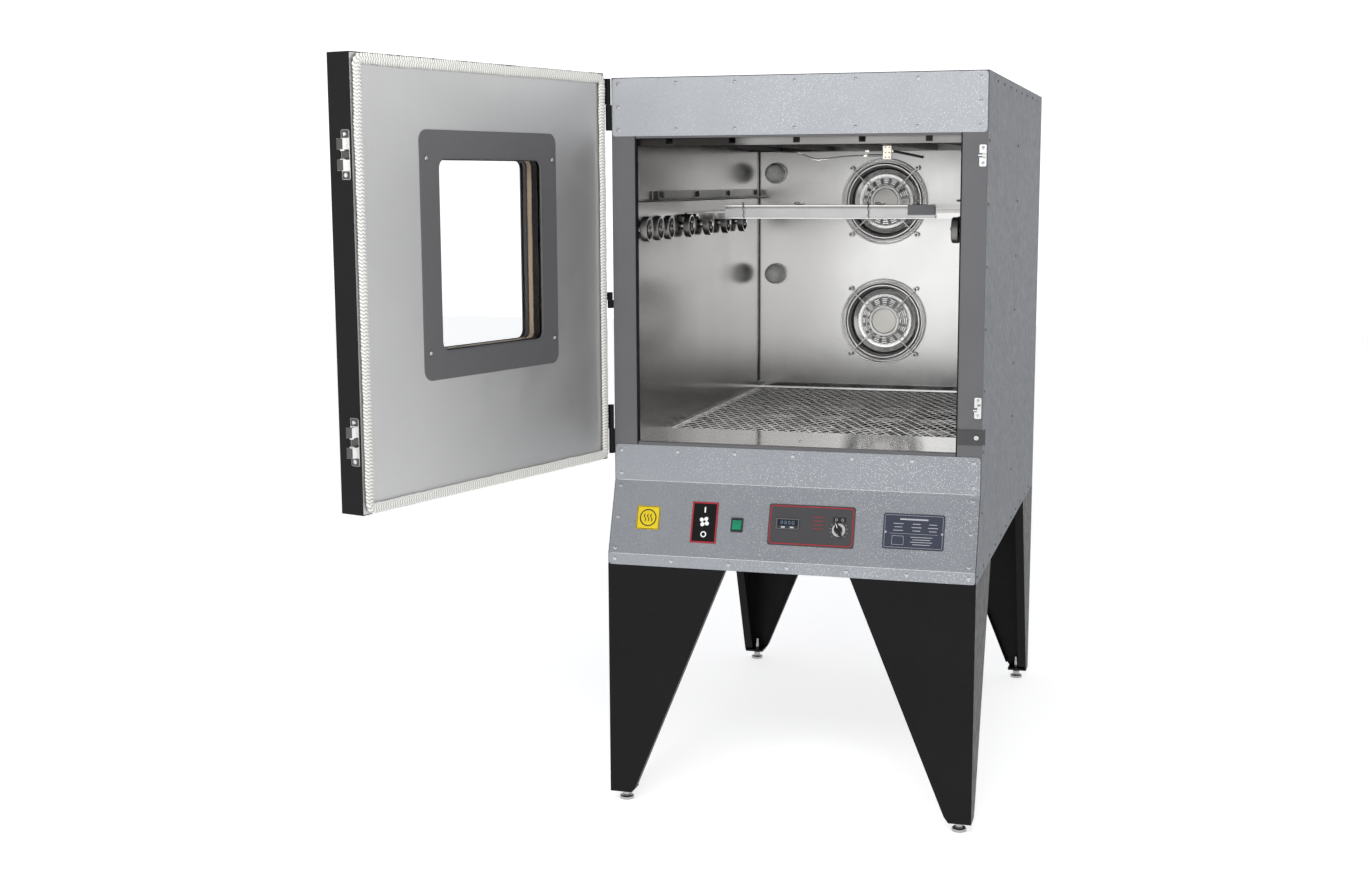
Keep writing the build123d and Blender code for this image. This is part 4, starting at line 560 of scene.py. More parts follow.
def braid(bm, path, total, m, half_w, half_h, level, pitch, relief, sides, wander, material=0):
    """A plaited rope: two vees of stitches on each face, with hollows between them and a lumpy outline."""
    turns = max(1, round(total / pitch))
    layer = bm.verts.layers.float.get("hollow") or bm.verts.layers.float.new("hollow")
    rings = []
    for p, normal, s in path:
        drift = wander * noise.noise(Vector((s * 0.012, 3.1, 0.0)))
        drift += 0.35 * wander * noise.noise(Vector((s * 0.06, 5.7, 0.0)))
        swell = 1.0 + 0.07 * noise.noise(Vector((s * 0.02, 9.0, 0.0)))
        swell += 0.10 * noise.noise(Vector((s * 0.11, 1.7, 0.0)))
        ring = []
        for k, (c, d) in enumerate(circle(1.0, sides)):
            fold = abs(2 * ((c + 1.0) % 1.0) - 1.0)
            phase = turns * s / total + 0.5 * fold * (1 if d > 0 else -1)
            depth = min(1.0, 1.3 * (1.0 - abs(math.sin(math.pi * phase)) ** 0.7))
            lift = 0.18 * noise.noise(Vector((s * 0.9, k * 0.7, 2.0))) - relief * depth
            q = p + normal * ((half_w * swell + lift) * c + drift)
            vert = bm.verts.new(m @ Vector((q.x, q.y, level + (half_h * swell + lift) * d)))
            # the hollow depth, which the rope material turns into painted shade
            vert[layer] = depth
            ring.append(vert)
        rings.append(ring)
    loft(bm, rings, material, closed=True)


def screw_head(bm, matrix, radius, height, turn):
    """A pan head with a cross recess."""
    m = matrix @ Matrix.Rotation(turn, 4, "Z")
    steps = 32
    arm, reach = radius * 0.17, radius * 0.56
    rings = []
    for t in (0.14, 0.28, 0.42, 0.56, 0.7, 0.84, 0.95, 1.0):
        dome = height * (1 - 0.45 * t**4) if t < 1 else height * 0.3
        ring = []
        for x, y in circle(radius * t, steps):
            recessed = (abs(x) < arm and abs(y) < reach) or (abs(y) < arm and abs(x) < reach)
            ring.append(bm.verts.new(m @ Vector((x, y, dome - height * 0.55 * recessed))))
        rings.append(ring)
    rings.append([bm.verts.new(m @ Vector((x, y, 0))) for x, y in circle(radius, steps)])
    middle = bm.verts.new(m @ Vector((0, 0, height * 0.35)))
    for k in range(steps):
        bm.faces.new((middle, rings[0][k], rings[0][(k + 1) % steps]))
    for a, b in zip(rings, rings[1:]):
        bridge(bm, b, a)


# ================= Door =================

# Gasket: a braided glass-fibre rope all round the inner face
bm = bmesh.new()
path, length = ring_path(GASKET_WIDTH, GASKET_HEIGHT, 12, 1.2)
inner_face = door_matrix(DOOR_WIDTH / 2, DOOR_MIDDLE)
braid(bm, path, length, inner_face, 10.7, 5.0, level=-5.3, pitch=6.8, relief=1.6, sides=34, wander=1.3)
piece = finish_mesh("door_gasket_braid", bm, "gasket", "door", smooth=80)
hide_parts("gasket")

# Window seal: channel, woven rope and spacer between the two panes
bm = bmesh.new()
centre = door_matrix(WINDOW_CENTRE, WINDOW_MIDDLE)
outer, inner = rounded(343, 389, 19), rounded(330, 376, 14)
band(bm, outer, inner, 8.2, 18.0, centre, 0)
band(bm, outer, inner, 38.0, 45.8, centre, 1)
band(bm, outer, rounded(336, 382, 16), 18.0, 38.0, centre, 0)
path, length = ring_path(336, 382, 15, 1.2)
braid(bm, path, length, centre, 3.0, 6.0, level=31.0, pitch=4.0, relief=0.7, sides=20, wander=0.3, material=2)
look = ("switch_black", "seal_grey", "seal")
piece = finish_mesh("window_seal_rope", bm, look, "door", smooth=60)
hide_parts("window_seal")

# Bead round the clear opening, on both trims
bm = bmesh.new()
for depth in (-2.3, DOOR_THICKNESS + 2.3):
    tube(bm, [(p.x, p.y, depth) for p, _, _ in ring_path(335, 381, 19, 6.0)[0]], 0.9, 8, centre, closed=True)
finish_mesh("window_trim_beads", bm, "trim", "door")

# Screws of the window trims and of the catches' plates
bm = bmesh.new()
for side in (-1, 1):
    for level in (-1, 1):
        spot = (WINDOW_CENTRE + side * 206, WINDOW_MIDDLE + level * 191)
        inwards = door_matrix(*spot, -3.6) @ Matrix.Rotation(math.pi, 4, "X")
        screw_head(bm, inwards, 4.4, 1.6, side * 0.7 + level * 0.3)
        screw_head(bm, door_matrix(*spot, DOOR_THICKNESS + 3.6), 4.4, 1.6, level * 0.9)
for height in CATCH_HEIGHTS:
    for z in (37.6, -37.6):
        m = door_matrix(DOOR_WIDTH + 3.0, height + z, CATCH_DEPTH) @ Matrix.Rotation(math.pi / 2, 4, "Y")
        screw_head(bm, m, 4.6, 2.2, z)
finish_mesh("door_screws", bm, "screw", "door")

# Catches: dark plates on the ends of the jaws, the plate ends and the notch floor, as painted shade; springs
# behind the plungers
bm = bmesh.new()
edgewise = Matrix(((0, 0, 1), (0, 1, 0), (-1, 0, 0))).to_4x4()
for height in CATCH_HEIGHTS:
    m = door_matrix(DOOR_WIDTH, height, CATCH_DEPTH) @ edgewise
    for sign in (-1, 1):
        slab(bm, rounded(14.6, 19.6, 1.2, 4, 0.0, sign * 19.5), 17.9, 18.5, m, 0)
        slab(bm, rounded(18.6, 15.0, 1.2, 4, 0.0, sign * 38.0), 2.9, 3.4, m, 0)
        coil = []
        for k in range(97):
            a = k / 96 * 4 * math.pi
            coil.append((2.6 * math.cos(a), sign * (25.4 + 0.7 * k / 96), 10.5 + 2.6 * math.sin(a)))
        tube(bm, coil, 0.45, 6, m, 1)
    slab(bm, rounded(19.0, 18.4, 1.0, 4), 2.9, 3.15, m, 0)
finish_mesh("catch_faces", bm, ("catch_shade", "screw"), "door")

# ================= Cabinet screws =================

columns = [MIDDLE + 134.2 * step for step in (-3, -2, -1, 0, 1, 2, 3)]
ends = (columns[0], columns[-1])
spots = [wall_matrix(x, FRONT - SKIN, z) for x in columns for z in (1547.0, 1648.0, 824.0)]
spots += [wall_matrix(x, FRONT - SKIN, z) for x in ends for z in (1597.5, 770.0)]
spots += [wall_matrix(x, FRONT - NOSE, 580.5) for x in columns]
spots += [slope_matrix(x - LEFT, down) for x in ends for down in (14.0, 87.0, 159.0)]
bm = bmesh.new()
for k, spot in enumerate(spots):
    screw_head(bm, spot, 4.2, 2.2, 1.7 * k)
piece = finish_mesh("fascia_screws", bm, "screw", "cabinet")
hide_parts("cabinet_screws")
side_spots = [(FRONT + 25 + 136 * step, 1646.0) for step in range(1, 9)]
side_spots += [(FRONT + y, 577.0 + 134.0 * step) for y in (22, 640) for step in range(1, 8)]
side_spots += [(FRONT - 40 + 118 * step, 581.0) for step in range(11)]
bm = bmesh.new()
for k, (y, z) in enumerate(side_spots):
    screw_head(bm, side_matrix(RIGHT, y, z), 3.4, 2.0, 1.3 * k)
    if y > FRONT + 40 or not 816 < z < 928:
        screw_head(bm, side_matrix(LEFT, y, z, -1), 3.4, 2.0, 0.7 * k)
finish_mesh("side_screws", bm, "screw_dark", "cabinet")

# ================= Chamber =================


def strand(bm, a, b):
    """One sloping strand of the floor mesh from joint to joint, with a leaning oblong section."""
    a, b = Vector(a), Vector(b)
    along = (b - a).normalized()
    w, t = STRAND_WIDTH / 2, STRAND_THICKNESS
    section = [(-w, -t), (w, -t * 0.55), (w, 0), (-w, -t * 0.45)]
    tips = []
    for p in (a, b):
        tips.append([bm.verts.new((p.x - along.y * s, p.y + along.x * s, MESH_TOP + h)) for s, h in section])
    loft(bm, tips)


# Expanded metal floor: leaning strands round long diamonds
bm = bmesh.new()
mesh_left, mesh_right = OPENING_LEFT + 2.0, OPENING_RIGHT - 2.0
mesh_front, mesh_back = FRONT + 236.0, CHAMBER_BACK - 5.0
across, deep = mesh_right - mesh_left, mesh_back - mesh_front
nx, ny = int(across / 26.4), int(deep / 57.2)
pitch_x, pitch_y = across / nx, deep / ny
for i in range(nx):
    for j in range(ny):
        x, y = mesh_left + i * pitch_x, mesh_front + j * pitch_y
        cx, cy = x + pitch_x / 2, y + pitch_y / 2
        for tip in (y, y + pitch_y):
            strand(bm, (x, cy), (cx, tip))
            strand(bm, (cx, tip), (x + pitch_x, cy))
for x in (mesh_left + 1.2, mesh_right - 1.2):
    tube(bm, [(x, mesh_front, MESH_TOP - 0.2), (x, mesh_back, MESH_TOP - 0.2)], 1.6, 8)
piece = finish_mesh("floor_mesh_expanded", bm, "mesh", "cabinet", smooth=20)
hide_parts("floor_mesh")

# Ceramic emitters: glazed plates whose ribs rise towards the middle, on porcelain feet, in both racks
bm = bmesh.new()
for level, sign in ((1546.0, -1), (790.0, 1)):
    for i in range(4):
        for j in range(5):
            m = place_matrix(MIDDLE + 145.5 * (i - 1.5), FRONT + 566.0 + 205.0 * (j - 2), level)
            slab(bm, rounded(115.6, 115.6, 6)[::sign], 0.3 * sign, 11.0 * sign, m, 0)
            slab(bm, rounded(29.6, 13.6, 1.5)[::sign], -5.8 * sign, 0.4 * sign, m, 1)
            for k in range(-3, 4):
                rib = rounded(108.0, 10.4, 4.6, 5, 0.0, 15.2 * k)
                slab(bm, rib[::sign], 10.6 * sign, (17.4 - 0.22 * k**2) * sign, m, 0)
look = ("ceramic", "porcelain")
piece = finish_mesh("ribbed_emitters", bm, look, "cabinet", smooth=40)
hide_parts("heater_elements")

# Screws round the back panel
bm = bmesh.new()
spots = [(x, z) for x in columns for z in (580.0, 1648.0)]
spots += [(x, 580.0 + 178.0 * step) for x in ends for step in range(1, 6)]
for k, (x, z) in enumerate(spots):
    screw_head(bm, turned_matrix(((-1, 0, 0), (0, 0, 1), (0, 1, 0)), (x, BACK, z)), 3.4, 2.0, 1.1 * k)
finish_mesh("back_screws", bm, "screw_dark", "cabinet")

# Screws on the sill and the back trim, then the bolts of the sheet rails
bm = bmesh.new()
for x in (204.0, 414.0, 624.0):
    screw_head(bm, place_matrix(LEFT + x, FRONT + 100.0, 843.5), 3.6, 2.0, x)
    screw_head(bm, wall_matrix(LEFT + x, CHAMBER_BACK - 1.7, 848.5), 3.4, 2.0, x)
finish_mesh("chamber_screws", bm, "screw", "cabinet")
bm = bmesh.new()
for k in range(4):
    for wall, sign in WALLS:
        m = side_matrix(wall + 3.5 * sign, FRONT + 199 + 303 * k, RAIL_Z + 13.0, sign)
        screw_head(bm, m, 7.6, 3.2, k)
finish_mesh("rail_bolts", bm, "screw_dark", "cabinet")

# Seams where the side plates meet the back plate: a bright bead in front of a dark joint
bm = bmesh.new()
seam_low, seam_long = 858.0, 735.0
for wall, sign in WALLS:
    foot = (wall + sign * 0.9, CHAMBER_BACK - 16.0, seam_low)
    tube(bm, [foot, (foot[0], foot[1], seam_low + seam_long)], 1.0, 12)
joint = [(0.2, -6.0), (1.0, -6.0), (1.2, -0.4), (0.2, -0.4)]
wall_slabs(bm, joint, 0.0, seam_long, CHAMBER_BACK, seam_low, 1)
finish_mesh("corner_seams", bm, ("corner", "seam"), "cabinet")

# Sheet rails: a dark sheet under each as painted shadow, and front stops
bm = bmesh.new()
under = [(0.3, 42.0), (7.6, 42.0), (26.4, 119.0), (26.4, 1146.0), (0.3, 1146.0)]
wall_slabs(bm, under, -2.6, -0.05, FRONT, RAIL_Z)
wall_slabs(bm, [(1.6, 131.0), (8.0, 131.0), (8.0, 147.0), (1.6, 147.0)], 0.0, 20.0, FRONT, RAIL_Z + 1.6)
finish_mesh("rail_shadows_and_stops", bm, "seam", "cabinet")

# Dark line round the sides of the opening
bm = bmesh.new()
wall_slabs(bm, [(0.1, -1.0), (2.6, -1.0), (2.6, 15.0), (0.1, 15.0)], 0.0, 782.0, FRONT, 822.0)
finish_mesh("opening_edges", bm, "seam", "cabinet")

# Rollers: a crowned tyre face, a dished web and a bearing with its balls
tyre = [(4.05, 0.2), (9.5, 0.2), (10.5, 1.5), (20, 1.5), (23, 0.4), (26.4, 0.2), (27.6, 1.2), (28, 3),
        (28, 13), (27.6, 14.8), (26.6, 15.8), (23.4, 15.8), (22.6, 14.0), (21.8, 8.4), (12.2, 7.4),
        (11.6, 15.4), (10.9, 16.0), (9.6, 16.0), (9.3, 14.6), (6.9, 14.6), (6.6, 16.0), (4.05, 16.0)]
for number, y in enumerate(ROLLER_YS, start=1):
    bm = bmesh.new()
    for wall, sign in WALLS:
        m = side_matrix(wall + 7.0 * sign, y, ROLLER_Z, sign)
        lathe(bm, tyre, 56, m, 0)
        lathe(bm, [(9.5, 13.0), (9.35, 16.0), (10.9, 16.02), (11.3, 15.6), (11.3, 13.0)], 48, m, 1)
        # a thin dark lining in the dished web: painted shade in its recess
        lathe(bm, [(12.0, 7.3), (21.9, 8.3), (22.4, 12.0), (21.0, 8.9), (12.6, 7.9), (11.8, 9.0)], 48, m, 2)
        lathe(bm, [(23.3, 15.82), (24.2, 16.0), (26.4, 16.0), (26.8, 15.7), (25.0, 15.4)], 56, m, 1)
        for ball_x, ball_y in circle(8.1, 9):
            spot = m @ place_matrix(ball_x, ball_y, 14.5)
            bmesh.ops.create_uvsphere(bm, u_segments=10, v_segments=6, radius=1.15, matrix=spot)
    look, body = ("roller", "hub", "seam"), f"roller_pair_{number}"
    piece = finish_mesh(f"roller_wheels_{number}", bm, look, body, smooth=40)
    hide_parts(f"roller_pair_{number}")

# Lamps: pressed glass jars with ribs, in pale screwed rings
bm = bmesh.new()
collar = [(17, -19), (18, -19), (18, 0), (30, 0), (30, 9), (29.4, 11.5), (28.4, 12.4), (27.4, 12), (26.9, 10),
          (26.4, 2), (17, 2)]
dome = [math.radians(90 - 7.5 * k) for k in range(1, 13)]
jar = [(0.0, 56.6)] + [(26.6 * math.cos(a), 30 + 26.6 * math.sin(a)) for a in dome]
jar += [(26.6, 24), (26.2, 21), (26.6, 18), (26.2, 15), (26.4, 12), (26.0, 4)]
jar += [(23.0, 4), (23.2, 24), (22.8, 32), (18.5, 44), (10, 51.5), (0.0, 53.6)]
for height in LAMP_HEIGHTS:
    m = wall_matrix(LAMP_X, CHAMBER_BACK, height)
    lathe(bm, collar, 56, m, 1)
    lathe(bm, jar, 56, m, 0, closed=False)
    lathe(bm, [(0.01, 4), (20, 4), (15, 14), (11, 30), (8, 38), (0.01, 41)], 32, m, 2, closed=False)
look = ("globe", "cap", "white_ink")
piece = finish_mesh("chamber_lamps", bm, look, "cabinet", smooth=40)
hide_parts("lamps")

# Fan wheels: pale hub cap and ring, a basket of pressed slots, then a polished dish with rolled rings
dish = [(65.6, -11.8), (66.4, -10.4), (68.0, -10.2), (69.0, -11.2), (76.0, -10.6), (77.0, -11.3)]
dish += [(78.0, -10.6), (86.4, -8.8), (88.4, -7.8), (89.8, -8.4), (90.0, -10.2), (88.0, -12.6), (66.0, -15.4)]
hub_ring = [(37.0, -2.0), (38.2, 1.0), (40.6, 1.8), (42.6, 0.4), (43.2, -2.4), (41, -4.6), (37.0, -4.6)]
for which, height in zip(("upper", "lower"), FAN_HEIGHTS):
    m = wall_matrix(MIDDLE, CHAMBER_BACK + 10, height)
    bm = bmesh.new()
    lathe(bm, [(0.01, 1.2), (28, 1.2), (32.4, 0.4), (33.6, -1.0), (33.6, -3.2), (0.01, -3.2)], 64, m, 4)
    lathe(bm, [(33.4, -2.2), (34.6, -1.6), (36.6, -1.8), (37.4, -2.8), (36, -4.4), (33.4, -4.4)], 72, m, 3)
    lathe(bm, hub_ring, 80, m, 1)
    lathe(bm, [(42.4, -5.0), (66.5, -13.4), (66.5, -15.0), (42.4, -7.0)], 96, m, 3)
    lathe(bm, dish, 112, m, 0)
    for sector in range(16):
        spot = m @ Matrix.Rotation(2 * math.pi * sector / 16, 4, "Z")
        for row in range(4):
            r, z, w = 45.4 + row * 5.2, -4.6 - row * 1.85, 11.2 + 1.5 * row
            slab(bm, rounded(2.5, w * 0.96, 0.9, 3, r + 1.4, 0.0), z - 0.6, z + 1.0, spot, 0)
            # black patches beside the bars: painted shade for the dark seen through the slots
            slab(bm, rounded(1.4, w * 0.62, 0.6, 3, r + 4.1, 0.0), z - 1.2, z + 0.1, spot, 2)
    for k in range(24):
        blade = []
        for i in range(7):
            t = i / 6
            a = 2 * math.pi * k / 24 + math.radians(9.0 * t * t)
            blade.append(((74.5 + 14.0 * t) * math.cos(a), (74.5 + 14.0 * t) * math.sin(a)))
        for (x0, y0), (x1, y1) in zip(blade, blade[1:]):
            corners = ((x0, y0, -14.8), (x1, y1, -14.8), (x1, y1, -34.6), (x0, y0, -34.6))
            quad = [m @ Vector(v) for v in corners]
            bm.faces.new([bm.verts.new(v) for v in quad])
    lathe(bm, [(14, -8), (14, -34), (89.8, -34.4), (89.8, -36), (6.05, -36), (6.05, -8)], 64, m, 0)
    look, body = ("dish", "white_ink", "black_ink", "basket", "cap"), f"fan_wheel_{which}"
    piece = finish_mesh(f"fan_wheel_{which}_dish", bm, look, body, smooth=30)
    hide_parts(f"fan_wheel_{which}")

# Fan inlets: a deep venturi, a finger guard with a double rim, spokes and eyelets
bm = bmesh.new()
venturi = [(108, 0.4), (107, 3.4), (104.5, 6.4), (101.5, 7.0), (99.6, 5.6), (98.2, 1.0), (95.0, -7.6),
           (96.4, -7.9), (100.0, 0.0)]
for height in FAN_HEIGHTS:
    m = wall_matrix(MIDDLE, CHAMBER_BACK, height)
    # the venturi body takes the dark steel, painted shade
    lathe(bm, venturi, 128, m, 1)
    lathe(bm, [(104.6, 6.0), (103.4, 7.4), (101.4, 7.4), (100.4, 6.2), (102.5, 5.4)], 128, m, 0)
    for ring, thick in ((118.0, 2.0), (111.0, 1.7), (46.0, 1.6)):
        lathe(bm, [(ring + x, 16 + y) for x, y in circle(thick, 10)], 128, m, 0)
    for turn in (45, 135, 225, 315):
        c, s = math.cos(math.radians(turn)), math.sin(math.radians(turn))
        spoke = [(46 * c, 46 * s, 18.2), (112 * c, 112 * s, 18.6), (124.5 * c, 124.5 * s, 18.6)]
        tube(bm, spoke, 1.9, 10, m, 0)
        spot = m @ place_matrix(131.1 * c, 131.1 * s, 0)
        lathe(bm, [(6.4, 17.2), (5.6, 18.8), (4.0, 18.8), (3.2, 17.2), (4.0, 15.6), (5.6, 15.6)], 32, spot, 0)
        lathe(bm, [(0.01, 0.3), (4.6, 0.3), (4.6, 14.0), (3.0, 16.6), (3.0, 19.6), (0.01, 20.2)], 24, spot, 2)
look = ("wire", "venturi", "clip")
piece = finish_mesh("fan_guard_rims", bm, look, "cabinet", smooth=40)
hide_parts("fan_inlets")

# Carrier bar: channel with rolled lips, a dark grip block, and wire clips and knots on top
bm = bmesh.new()
bar_left, bar_right, bar_low = LEFT + 157.0, LEFT + 672.0, 1342.5
bar_y = FRONT + 404.8
bar = turned_matrix(((0, 0, 1), (1, 0, 0), (0, 1, 0)), (bar_left, bar_y, bar_low))
lower_lip = [(-0.1, 0.2), (-12.6, 0.2), (-13.0, 0.9), (-13.0, 3.2), (-11.4, 3.2), (-11.2, 2.2), (-3.0, 2.2)]
upper_lip = [(-3.0, 31.8), (-11.2, 31.8), (-11.4, 29.8), (-13.0, 29.8), (-13.0, 33.1), (-12.4, 33.9),
             (-0.1, 33.9)]
slab(bm, lower_lip + [(-2.1, 3.0), (-2.1, 31.0)] + upper_lip, 0.0, bar_right - bar_left, bar, 0)
face = wall_matrix(bar_left, bar_y - 3.2, bar_low)
slab(bm, [(0.6, 3.4), (449.0, 3.4), (449.0, 23.2), (0.6, 23.2)], 0.0, 8.6, face, 1)
slab(bm, [(0.6, 24.4), (449.0, 24.4), (449.0, 30.4), (0.6, 30.4)], 0.0, 7.6, face, 3)
slab(bm, rounded(64.5, 24.0, 2.5, 5, 481.5, 21.4), 0.4, 11.2, face, 2)
slab(bm, [(449.0, 3.6), (514.6, 3.6), (514.6, 8.6), (449.0, 8.6)], 0.4, 8.6, face, 1)
clip = [(0, 0.0, 32.0), (0, -2.0, 39.6), (1, -8.0, 40.4), (2, -14.6, 39.0), (3, -16.2, 34.0),
        (2, -16.6, 24.0), (4.6, -16.4, 16.0), (2.4, -16.4, 8.0), (5, -15.4, 1.4)]
for x in (44.0, 352.0):
    tube(bm, clip, 1.15, 8, place_matrix(bar_left + x, bar_y - 0.6, bar_low), 3)
turns = [k * math.pi / 12 for k in range(25)]
knot = [(9 * math.cos(t) + 2 * t, 3.2 * math.sin(2 * t), 36.6 + 2.2 * math.sin(t)) for t in turns]
for x in (176.0, 373.0):
    tube(bm, knot, 1.2, 8, place_matrix(bar_left + x, bar_y - 6.0, bar_low), 2)
look = ("trim_steel", "bar_face", "bezel", "clip")
piece = finish_mesh("carrier_bar_channel", bm, look, "carrier", smooth=30)
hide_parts("carrier_bar")

# Sensing rod, sleeves and lead of the probe, measured from its block
bm = bmesh.new()
probe = place_matrix(LEFT + 552.0, FRONT + 419.0, 0.0)
tube(bm, [(14, 0, 1502), (50, 0, 1494.7), (86.6, 0, 1487.2)], 3.15, 14, probe)
for z in (1511.0, 1499.0, 1488.0):
    for x in (-4, 5):
        tube(bm, [(x, -7.4, z), (x, -6.6, z)], 1.7, 12, probe)
for z, reach in ((1503.0, 44.4), (1493.0, 48.4)):
    m = probe @ place_matrix(0, 0, z) @ Matrix.Rotation(-math.pi / 2, 4, "Y")
    lathe(bm, [(2.62, 9.2), (2.9, 9.2), (2.9, reach), (2.62, reach)], 20, m, 1)
lead = [(-56, 1493), (-84, 1492), (-110, 1490.6), (-141, 1487), (-166, 1484.6), (-180, 1486.5), (-206, 1496),
        (-222, 1500.4), (-248, 1501.8), (-273.8, 1503)]
tube(bm, [(x, 0, z) for x, z in lead], 1.5, 10, probe, 2)
finish_mesh("probe_rod", bm, ("switch_black", "rail", "plate_dark"), "cabinet")

# ================= Control panel graphics =================


def decal(bm, outline, matrix, material, thick=0.18):
    """A thin printed patch."""
    slab(bm, outline, 0.0, thick, matrix, material)


def outline_band(bm, width, height, radius, line, matrix, material, x=0.0, y=0.0, thick=0.2):
    """A printed frame with round corners."""
    outer = rounded(width, height, radius, 6, x, y)
    inner = rounded(width - 2 * line, height - 2 * line, max(0.3, radius - line), 6, x, y)
    band(bm, outer, inner, 0.0, thick, matrix, material)


def ring_band(bm, radius, line, matrix, material, x=0.0, y=0.0, steps=24):
    """A printed ring."""
    inner, outer = circle(radius - line / 2, steps), circle(radius + line / 2, steps)
    for k in range(steps):
        j = (k + 1) % steps
        corners = (inner[k], outer[k], outer[j], inner[j])
        slab(bm, [(x + p, y + q) for p, q in corners], 0.0, 0.2, matrix, material)


panel = ("switch_black", "overlay", "navy", "yellow", "red_ink", "white_ink", "silver_ink", "black_ink",
         "dial", "display", "segments", "device")
BLACK, OVERLAY, NAVY, YELLOW, RED, WHITE, SILVER, INK, DIAL, SCREEN, SEGMENT, DEVICE = range(12)
bm = bmesh.new()

# fan switch plate: red border, bar, fan and ring symbols
decal(bm, rounded(60.4, 93.4, 1.0), slope_matrix(*SWITCH_PLATE, PLATE), BLACK, PRINT)
m = slope_matrix(*SWITCH_PLATE, PLATE + PRINT)
outline_band(bm, 60.2, 93.2, 1.5, 3.4, m, RED)
decal(bm, rounded(3.4, 13, 0.4, 3, 0, 29), m, WHITE)
ring_band(bm, 5.6, 2.6, m, WHITE, 0, -27)
for k in range(4):
    a = math.radians(45 + 90 * k)
    blade = []
    for i in range(14):
        t = i / 13 * 2 * math.pi
        r, s = 7.0 + 5.2 * math.cos(t), 4.6 * math.sin(t) + 1.6
        blade.append((r * math.cos(a) - s * math.sin(a), 2 + r * math.sin(a) + s * math.cos(a)))
    decal(bm, blade, m, WHITE)
decal(bm, [(x, 2 + y) for x, y in circle(3.0, 12)], slope_matrix(*SWITCH_PLATE, 1.3), BLACK, PRINT)

# controller overlay in four parts round the timer's hole: red rounded border, legend block
m = slope_matrix(*CONTROLLER, PLATE)
skin = rounded(195.4, 92.4, 6)
for low, high in ((-97.7, -77.7), (-29.3, 97.7)):
    part = []
    for x, y in skin:
        spot = (min(max(x, low), high), y)
        if not part or spot != part[-1]:
            part.append(spot)
    decal(bm, part if part[0] != part[-1] else part[:-1], m, OVERLAY, PRINT)
for low, high in ((-46.2, -8.7), (11.7, 46.2)):
    decal(bm, [(-77.7, low), (-29.3, low), (-29.3, high), (-77.7, high)], m, OVERLAY, PRINT)
m = slope_matrix(*CONTROLLER, PLATE + PRINT)
outline_band(bm, 190, 87, 9, 2.2, m, RED)
decal(bm, rounded(29, 11, 1, 4, 63, 16.5), m, INK)
for x in (56.0, 70.0):
    ring_band(bm, 2.6, 1.0, slope_matrix(*CONTROLLER, 1.3), SILVER, x, 16.5, 16)
for k in range(4):
    decal(bm, rounded(26 - 5 * (k % 2), 1.2, 0.3, 2, 15, 20 - 8.5 * k), m, RED)
for k in range(11):
    tick = slope_matrix(*SELECTOR, PLATE + PRINT) @ Matrix.Rotation(math.radians(225 - 27 * k), 4, "Z")
    decal(bm, [(18, -0.4), (21, -0.4), (21, 0.4), (18, 0.4)], tick, SILVER)

# dial disc with a chamfered rim
disc = [(3.2, 2.25), (14.6, 2.25), (15.4, 1.6), (15.6, 0.4), (3.2, 0.4)]
lathe(bm, disc, 56, slope_matrix(*SELECTOR, PLATE), DIAL)

# timer window: sunken dark display with plain segment bars
decal(bm, rounded(43.6, 12.6, 0.8), slope_matrix(TIMER_X, TIMER_DOWN, TIMER_FACE - 1.2), SCREEN, 0.3)
m = slope_matrix(TIMER_X, TIMER_DOWN, TIMER_FACE - 0.9)
for k in range(4):
    middle = -13.5 + 8.6 * k
    for y in (-3.4, 0, 3.4):
        decal(bm, rounded(4.2, 0.7, 0.2, 2, middle, y), m, SEGMENT, 0.1)
    for x in (-2.4, 2.4):
        for y in (-1.7, 1.7):
            decal(bm, rounded(0.7, 2.4, 0.2, 2, middle + x, y), m, SEGMENT, 0.1)
outline_band(bm, 51.8, 23.8, 1.5, 1.6, slope_matrix(TIMER_X, TIMER_DOWN + 3.0, TIMER_FACE), DEVICE, thick=0.5)

# data plate: navy with a fine silver border and empty ruled boxes
decal(bm, rounded(134.4, 78.4, 5), slope_matrix(*DATA_PLATE, PLATE), NAVY, PRINT)
m = slope_matrix(*DATA_PLATE, PLATE + PRINT)
outline_band(bm, 128, 72, 3, 0.7, m, SILVER, thick=PRINT)
decal(bm, rounded(62, 3.4, 0.4, 2, 0, 27), m, SILVER, PRINT)
for k in range(3):
    for x in (-34, 6, 42):
        decal(bm, rounded(22 - 5 * ((k + int(x > 0)) % 2), 1.5, 0.3, 2, x, 17 - 7.5 * k), m, SILVER, PRINT)
decal(bm, rounded(106, 0.6, 0.2, 2, 0, -5), m, SILVER, PRINT)
outline_band(bm, 26, 20, 1, 0.7, m, SILVER, -34, -20, PRINT)
for k in range(4):
    decal(bm, rounded(48 - 9 * (k % 2), 1.3, 0.3, 2, 18, -12 - 5.4 * k), m, SILVER, PRINT)

# heat marking: yellow square with a plain ring and three wavy lines
decal(bm, rounded(54.4, 54.4, 2), slope_matrix(*HEAT_LABEL, PLATE), YELLOW, PRINT)
m = slope_matrix(*HEAT_LABEL, PLATE + PRINT)
outline_band(bm, 52, 52, 2, 1.0, m, INK)
ring_band(bm, 18.5, 2.4, m, INK, steps=40)
for x in (-7.5, 0.0, 7.5):
    wave = [(x + 2.0 * math.sin(k / 12 * 2 * math.pi), -8.5 + 17.0 * k / 12) for k in range(13)]
    slab(bm, [(p - 1.0, q) for p, q in reversed(wave)] + [(p + 1.0, q) for p, q in wave], 0.0, 0.2, m, INK)
finish_mesh("panel_graphics", bm, panel, "cabinet", smooth=30)

